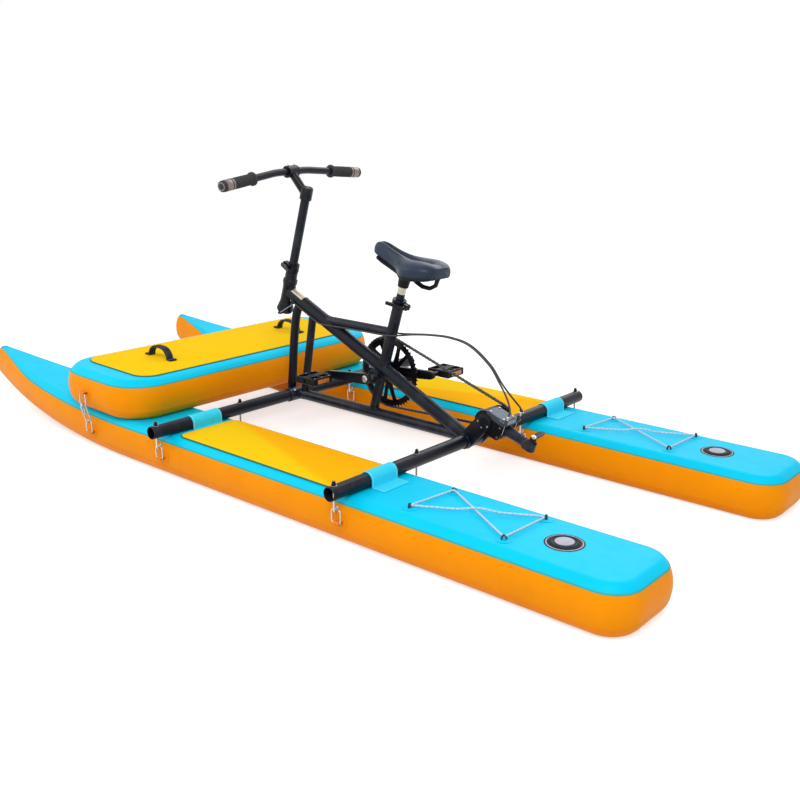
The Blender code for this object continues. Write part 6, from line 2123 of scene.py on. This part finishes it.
@dataclass
class PedalDrive:
    """The crank set, pedals, toothed chainring and link chain."""

    angle: float = radians(4.8)
    chain_y: float = -0.0475
    spokes: int = 5
    teeth: int = 54
    pitch_radii: tuple[float, float] = (0.1093, 0.0363)
    pitch: float = 0.0127
    roller: float = 0.0038

    def pins(self) -> list[Vector]:
        """The places of the chain's pins.

        Returns:
            Points in the (x, z) plane.
        """
        outline = band_outline(Vector(SHELL), self.pitch_radii[0], Vector(DRIVE), self.pitch_radii[1], 240)
        closed = [Vector(p) for p in (*outline, outline[0])]
        total = path_length(closed)
        count = 2 * round(total / self.pitch / 2)
        pins, gone, target = [], 0, 0
        for a, b in zip(closed, closed[1:]):
            run = (b - a).length
            while target <= gone + run and len(pins) < count:
                pins.append(a.lerp(b, (target - gone) / run))
                target += total / count
            gone += run
        return pins

    def chain(self, pins: list[Vector]) -> None:
        """Make the link chain: rollers, pins and two widths of side plates.

        Args:
            pins: The places of its pins.
        """
        shape = Shape()
        for i, pin in enumerate(pins):
            for radius, half, sides in ((self.roller, 0.0019, 12), (0.0017, 0.0034, 8)):
                shape.turned([(0, 0), (radius, 0), (radius, 2 * half), (0, 2 * half)],
                             aimed(at(pin.x, self.chain_y - half, pin.y), TO_PORT), sides)
            outline = self.link_outline(pin, pins[(i + 1) % len(pins)])
            for way in (-1, 1):
                flat = moved(0, self.chain_y + way * (0.0029 if i % 2 else 0.0022), 0) @ UPRIGHT
                shape.plate(outline, 0.0007, flat, edge=0.0002)
        shape.piece("drive_chain_links", "root", CHAIN_STEEL, stands_for="drive_chain", slot="chain_metal")

    def link_outline(self, first: Vector, second: Vector) -> Outline:
        """A waisted side plate round two pins.

        Args:
            first: The first pin.
            second: The second pin.

        Returns:
            Its outline.
        """
        along = (second - first).normalized()
        waist = Vector((-along.y, along.x)) * 0.0027
        facing, middle = degrees(atan2(along.y, along.x)), (first + second) / 2
        return [*arc(tuple(second), 0.004, facing - 70, facing + 70, 6), tuple(middle + waist),
                *arc(tuple(first), 0.004, facing + 110, facing + 250, 6), tuple(middle - waist)]

    def chainring(self, pins: list[Vector]) -> None:
        """Make the toothed ring with windows between its curved spokes, and the hub with its bolts.

        Args:
            pins: The places of the chain's pins, which the teeth stand between.
        """
        on_ring = [p - Vector(SHELL) for p in pins if (p - Vector(SHELL)).x > 0.05]
        first = on_ring[len(on_ring) // 2]
        phase = atan2(first.y, first.x) + self.angle
        root, tip = self.pitch_radii[0] - self.roller - GAP, self.pitch_radii[0] + 0.002
        flank = ((0, root), (0.22, root + 0.0006), (0.36, root + 0.003), (0.46, tip), (0.54, tip),
                 (0.64, root + 0.003), (0.78, root + 0.0006))
        teeth = []
        for start in round_angles(self.teeth):
            for share, r in flank:
                a = phase + start + 2 * pi * share / self.teeth
                teeth.append((r * cos(a), r * sin(a)))
        windows = []
        for start in range(0, 360, 360 // self.spokes):
            windows.append(fan_window((0.034, 0.088), (start + 16, start + 46), (start + 3, start + 43)))
            windows.append(fan_window((0.052, 0.088), (start + 62, start + 66), (start + 50, start + 68)))
        place = self.axis() @ moved(0, self.chain_y, 0) @ UPRIGHT
        rim, hole = (arc((0, 0), root - inward, 0, 360, 144)[:-1] for inward in (0.0016, 0.01))
        ring = windowed_plate("chainring_plate", [rim, *windows], 0.004, place, DEEP_BLACK)
        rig.replaces(ring, "chainring")
        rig.ride(ring, "crank")
        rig.ride(windowed_plate("chainring_teeth", [teeth, hole], 0.002, place, DEEP_BLACK), "crank")
        shape = Shape()
        shape.turned(mm((8.8, 0), (21.2, 0), (22, 0.8), (22, 11), (20.5, 12.2), (8.8, 12.2)),
                     aimed(at(0, self.chain_y + 0.004, 0), -TO_PORT), 40)
        for start in range(0, 360, 360 // self.spokes):
            a = radians(start - 3.0)
            centre = at(0.028 * cos(a), self.chain_y - 0.0018, 0.028 * sin(a))
            shape.turned(mm((0, 0), (4.2, 0), (4.2, 1.6), (3.6, 2.2), (2, 2.2), (2, 1.2), (0, 1.2)),
                         aimed(centre, -TO_PORT), 20, 1)
        shape.piece("chainring_hub", "crank", DEEP_BLACK, BRIGHT_STEEL, placing=self.axis())

    def axis(self) -> Matrix:
        """The crank axle's frame."""
        return moved(SHELL[0], 0, SHELL[1]) @ turn("Y", self.angle)

    def pedal(self, hand: Hand, centre: Vector) -> None:
        """Make a pedal's reflectors and its grip studs.

        Args:
            hand: The rider's side.
            centre: The pedal's middle.
        """
        shape = Shape()
        holder, glass = rounded_rectangle(0.0165, 0.052, 0.003, 4), rounded_rectangle(0.0125, 0.047, 0.002, 4)
        for way in (-1, 1):
            place = Matrix.Translation(centre + at(way * 0.0402, 0, 0)) @ turn("Y", radians(90))
            shape.plate(holder, 0.0018, place, edge=0.0005, finish=1)
            shape.plate(glass, 0.0022, place @ moved(0, 0, way * 0.0006), edge=0.0004, finish=0)
            for rise in (-1, 1):
                for along in (-0.03, 0, 0.03):
                    foot = centre + at(way * 0.0345, along, rise * 0.0108)
                    shape.tube([foot, foot + at(0, 0, rise * 0.0014)], [0.0017, 0.0012], 10, finish=2)
        shape.piece(hand.word + "_pedal_reflectors", hand.word + "_pedal_body", AMBER, BLACK_PLASTIC, BRIGHT_STEEL)

    def caps(self) -> None:
        """Make the dust caps on the axle's ends."""
        shape = Shape()
        for way in (-1, 1):
            shape.turned(mm((0, 0), (10.4, 0), (10.4, 0.6), (9.2, 1.4), (4.6, 1.4), (4.2, 0.4), (0, 0.4)),
                         aimed(at(0, way * 0.068, 0), way * TO_PORT), 36)
        shape.piece("crank_dust_caps", "crank", BRIGHT_STEEL, placing=self.axis())

    def build(self) -> None:
        """Make the pedal drive."""
        dress("crank_axle", BRIGHT_STEEL, 0.0005)
        for hand in Hand:
            dress(hand.word + "_crank", DEEP_BLACK)
            dress(hand.word + "_pedal", BLACK_PLASTIC)
        self.pedal(Hand.LEFT, at(-0.04853, 0.1325, 0.25545))
        self.pedal(Hand.RIGHT, at(-0.34747, -0.1325, 0.28055))
        pins = self.pins()
        self.chain(pins)
        self.chainring(pins)
        self.caps()
        LOG.info("cranks, pedals and chain")


def fan_window(radii: tuple[float, float], inner: tuple[float, float], outer: tuple[float, float]) -> Outline:
    """The outline of a window between two radii, with its corners rounded.

    Args:
        radii: The inner and outer radius.
        inner: The angles of its inner edge, in degrees.
        outer: The angles of its outer edge.

    Returns:
        The outline.
    """
    rim = arc((0, 0), radii[1], outer[0], outer[1], 8)
    foot = arc((0, 0), radii[0], inner[1], inner[0], 4)
    corners = [Vector((u, v)) for u, v in (*rim, *foot)]
    for _ in range(2):
        corners = [a.lerp(b, share) for a, b in zip(corners, corners[1:] + corners[:1]) for share in (0.25, 0.75)]
    return [tuple(corner) for corner in corners]


def windowed_plate(name: str, outlines: Sequence[Outline], thickness: float, placing: Matrix, finish: Finish) -> Piece:
    """A flat plate with windows in it.

    Args:
        name: The piece's name.
        outlines: The plate's outline, then its windows.
        thickness: Its thickness.
        placing: Where its plane goes.
        finish: Its finish.

    Returns:
        The piece.
    """
    edge = 0.0003
    curve = bpy.data.curves.new(name, "CURVE")
    curve.dimensions, curve.fill_mode = "2D", "BOTH"
    curve.extrude, curve.offset = thickness / 2 - edge, -edge
    curve.bevel_depth, curve.bevel_resolution = edge, 1
    for outline in outlines:
        spline = curve.splines.new("POLY")
        spline.points.add(len(outline) - 1)
        for point, (u, v) in zip(spline.points, outline):
            point.co = (u, v, 0, 1)
        spline.use_cyclic_u = True
    rough = placed(name + "_curve", curve)
    bpy.context.view_layer.update()
    mesh = bpy.data.meshes.new_from_object(rough.evaluated_get(bpy.context.evaluated_depsgraph_get()))
    bpy.data.objects.remove(rough)
    mesh.transform(placing)
    mesh.materials.clear()
    mesh.materials.append(finish.material())
    mesh.polygons.foreach_set("material_index", [0] * len(mesh.polygons))
    mesh.name = name
    return smooth_object(name, mesh, 30)


# Tilting drive


@dataclass
class TiltingDrive:
    """The gear case that tilts on the bracket, the steered leg and the propeller."""

    drive: Matrix = field(default_factory=lambda: Matrix((
        (0.9438, 0, -0.33051, -0.61), (0, 1, 0, 0), (0.33051, 0, 0.9438, 0.212), (0, 0, 0, 1))))
    screw_radius: float = 0.06
    screw_height: float = 0.0218
    blade_pitch: float = radians(-24)
    blade: tuple[tuple[float, float, float], ...] = (
        (0.09, 0.011, 0.0048), (0.3, 0.022, 0.004), (0.55, 0.03, 0.0032), (0.8, 0.026, 0.0024),
        (0.95, 0.016, 0.0018), (1, 0.007, 0.0014))

    def screw_axis(self) -> Matrix:
        """The propeller's own frame.

        Returns:
            A matrix with X along a blade and Z along the shaft.
        """
        x, z = at(-0.10453, 0.98694, -0.12258), at(-0.3294, 0.08194, 0.94063)
        return moved(-0.74685, 0, 0.16408) @ Matrix((x, z.cross(x), z)).transposed().to_4x4()

    def propeller(self) -> None:
        """Make two twisted blades with rounded tips on a smooth hub, and their nut."""
        shape, nut = Shape(), Shape()
        for way in (0, pi):
            rings = []
            for step in range(33):
                share = 0.09 + 0.91 * step / 32
                near = next(k for k in range(len(self.blade) - 1) if share <= self.blade[k + 1][0] + 1e-9)
                (s0, c0, t0), (s1, c1, t1) = self.blade[near], self.blade[near + 1]
                blend = (share - s0) / (s1 - s0)
                blend = blend * blend * (3 - 2 * blend) if near < 3 else blend
                chord, thick = c0 + (c1 - c0) * blend, t0 + (t1 - t0) * blend
                pitch = self.blade_pitch * (1.15 - 0.4 * share)
                section = [(chord / 2 * cos(a), thick / 2 * sin(a)) for a in round_angles(28)]
                rings.append([turn("Z", way) @ at(share * self.screw_radius, u * cos(pitch) - v * sin(pitch),
                                                  self.screw_height + u * sin(pitch) + v * cos(pitch))
                              for u, v in section])
            shape.loft(rings)
        top = self.screw_height + 0.006
        shape.turned([(0.0036, 0.0142), (0.0088, 0.0142), (0.0095, 0.015), (0.0095, top - 0.003),
                      (0.0088, top - 0.0012), (0.0074, top), (0.0036, top)], sides=40)
        shape.piece("propeller_screw", "screw", BLACK_PLASTIC, stands_for="propeller", slot="black_plastic",
                    placing=self.screw_axis(), sharp=50)
        nut.turned([(0.0038, top + 0.0003), (0.007, top + 0.0003), (0.0076, top + 0.0009), (0.0076, top + 0.0044),
                    (0.0068, top + 0.0052), (0.0038, top + 0.0052)], sides=6)
        nut.turned([(0, top), (0.004, top), (0.004, top + 0.0068), (0.003, top + 0.008), (0, top + 0.0082)], sides=20)
        nut.piece("propeller_nut", "screw", BRIGHT_STEEL, slot="stainless", placing=self.screw_axis(), sharp=30)

    def screws(self) -> None:
        """Make the small socket screws of the bracket's cheeks and of the gear case."""
        cheeks, case = Shape(), Shape()
        low = mm((0, 0), (3, 0), (3, 1.6), (2.6, 2.2), (1.5, 2.2), (1.5, 1), (0, 1))
        tall = mm((0, 0), (3, 0), (3, 1.8), (2.5, 2.3), (1.5, 2.3), (1.5, 1), (0, 1))
        for way in (1, -1):
            for a in (radians(200 + 70 * step) for step in range(3)):
                centre = at(0.0175 * cos(a), way * 0.0322, 0.0175 * sin(a))
                cheeks.turned(low, aimed(self.drive @ centre, way * TO_PORT), 18)
        for way in (-1, 1):
            for z in (-0.022, 0.009):
                case.turned(tall, self.drive @ aimed(at(-0.052, way * 0.0256, z), way * TO_PORT), 18)
            for x in (-0.052, -0.005):
                case.turned(tall, self.drive @ moved(x, way * 0.0215, 0.0352), 18)
        cheeks.piece("bracket_screws", "root", BRIGHT_STEEL)
        case.piece("gear_case_screws", "drive", BRIGHT_STEEL)

    def build(self) -> None:
        """Make the drive."""
        dress("gear_case", DEEP_BLACK)
        dress("gear_cover", GREY_ALLOY)
        dress("drive_sprocket", CHAIN_STEEL, 0.0004)
        dress("input_shaft", BRIGHT_STEEL, 0.0003)
        dress("drive_leg", COLLAR_RUBBER)
        dress("leg_shaft", BRIGHT_STEEL, 0.0003)
        dress("propeller_shaft", BRIGHT_STEEL, 0.0003)
        self.propeller()
        self.screws()
        LOG.info("tilting drive and propeller")


@dataclass
class SteeringCable:
    """One steering cable: its sheath from the frame's stop to the drive, and its bare inner wire."""

    side: Side
    drive: TiltingDrive
    sheath_radius: float = 0.0026
    wire_radius: float = 0.0009
    route: tuple[tuple[float, float, float], ...] = (
        (0.149, 0.0205, 0.4467), (0.1, 0.0207, 0.424), (0.045, 0.0226, 0.4), (0.012, 0.0246, 0.397),
        (-0.022, 0.0224, 0.3965), (-0.08, 0.017, 0.397), (-0.15, 0.017, 0.398), (-0.205, 0.02, 0.399),
        (-0.25, 0.0212, 0.401), (-0.285, 0.0165, 0.405), (-0.33, 0.006, 0.4125), (-0.391, 0.0036, 0.42),
        (-0.463, 0.0036, 0.423), (-0.534, 0.0036, 0.411), (-0.603, 0.0036, 0.367), (-0.64, 0.0044, 0.323),
        (-0.6645, 0.0088, 0.2945), (-0.6825, 0.017, 0.272), (-0.6925, 0.025, 0.256))

    def build(self, steering: Steering) -> None:
        """Make the cable.

        Args:
            steering: The steering, for the horn that pulls the wire.
        """
        word, way = self.side.word, self.side.value
        sheath, ends, inner, front = Shape(), Shape(), Shape(), Shape()
        points = [at(x, way * y, z) for x, y, z in self.route]
        points += [self.drive.drive @ at(-0.066, way * y, z) for y, z in ((0.0293, 0.0578), (0.03, 0.0453))]
        path = smooth_path(points, 0.01)
        sheath.tube(path, self.sheath_radius, 14)
        cable = sheath.piece(word + "_cable_sheath", None, SHEATH, stands_for=word + "_steering_cable",
                             slot="cable_sheath")
        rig.blend(cable, "root", "drive", (-0.463, 0.0, 0.423), (-0.672, 0.0, 0.27))
        low, horn = points[-1], self.drive.drive @ at(-0.066, way * 0.03, -0.004)
        up = self.drive.drive.to_3x3() @ UP
        ends.turned(mm((3.1, 0), (4.2, 0), (4.4, 1), (4.4, 10), (3.8, 11), (3.1, 11.5)), aimed(low - up * 0.0002, up),
                    20)
        ferrule = ends.piece(word + "_cable_ferrule", "drive", BRIGHT_STEEL)
        inner.tube([low.lerp(horn, k / 8) for k in range(9)], self.wire_radius, 8)
        wire = inner.piece(word + "_cable_wire", None, BRIGHT_STEEL)
        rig.blend(wire, "drive", "leg", tuple(low), tuple(horn))
        stop, onward = points[0], (points[1] - points[0]).normalized()
        tip = steering.pivot() @ at(0, way * 0.0255, -0.0078)
        front.tube([stop.lerp(tip, k / 8) for k in range(9)], self.wire_radius, 8)
        front.tube([stop - onward * 0.0145, stop - onward * 0.0185], [0.0018, 0.0013], 10)
        pull = front.piece(word + "_horn_wire", None, BRIGHT_STEEL)
        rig.blend(pull, "root", "steering", tuple(stop.lerp(tip, 0.02)), tuple(stop.lerp(tip, 0.98)))
        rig.cord(cable, exit=path[0], length=path_length(path), diameter=2 * self.sheath_radius, far_end="object",
                stiffness="stiff", lay="hanging", path=path, with_pieces=[wire, ferrule, pull])
        LOG.info("steering cable: %s", word)


def write_sizes() -> None:
    """Write the box of the solids and the box of the dressed model."""
    boxes = {"cad": CAD_BOX, "visual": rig.bounds()}
    lists = {name: [[float(c) for c in corner] for corner in box] for name, box in boxes.items()}
    with open("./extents.json", "w") as sizes:
        json.dump(lists, sizes)


def main() -> None:
    """Build the craft, piece by piece."""
    Studio().build()
    drive, steering = TiltingDrive(), Steering()
    for side in Side:
        SteeringCable(side, drive).build(steering)
    for side in Side:
        hull = Hull(side)
        hull.build()
        Lashing(side, BEAM_X[0], -0.014, 0.108, 0.0275, 0.0465, CYAN_STRAP).build(side.word + "_front_strap")
        Lashing(side, BEAM_X[1], -0.007, 0.098, 0.062, 0.0275, REAR_STRAP).build(side.word + "_rear_strap")
    BowBoard().build(hull)
    MainFrame().build()
    steering.build()
    Saddle().build()
    PedalDrive().build()
    drive.build()
    write_sizes()


if __name__ == "__main__":
    logging.basicConfig(level=logging.INFO, format="%(message)s")
    main()
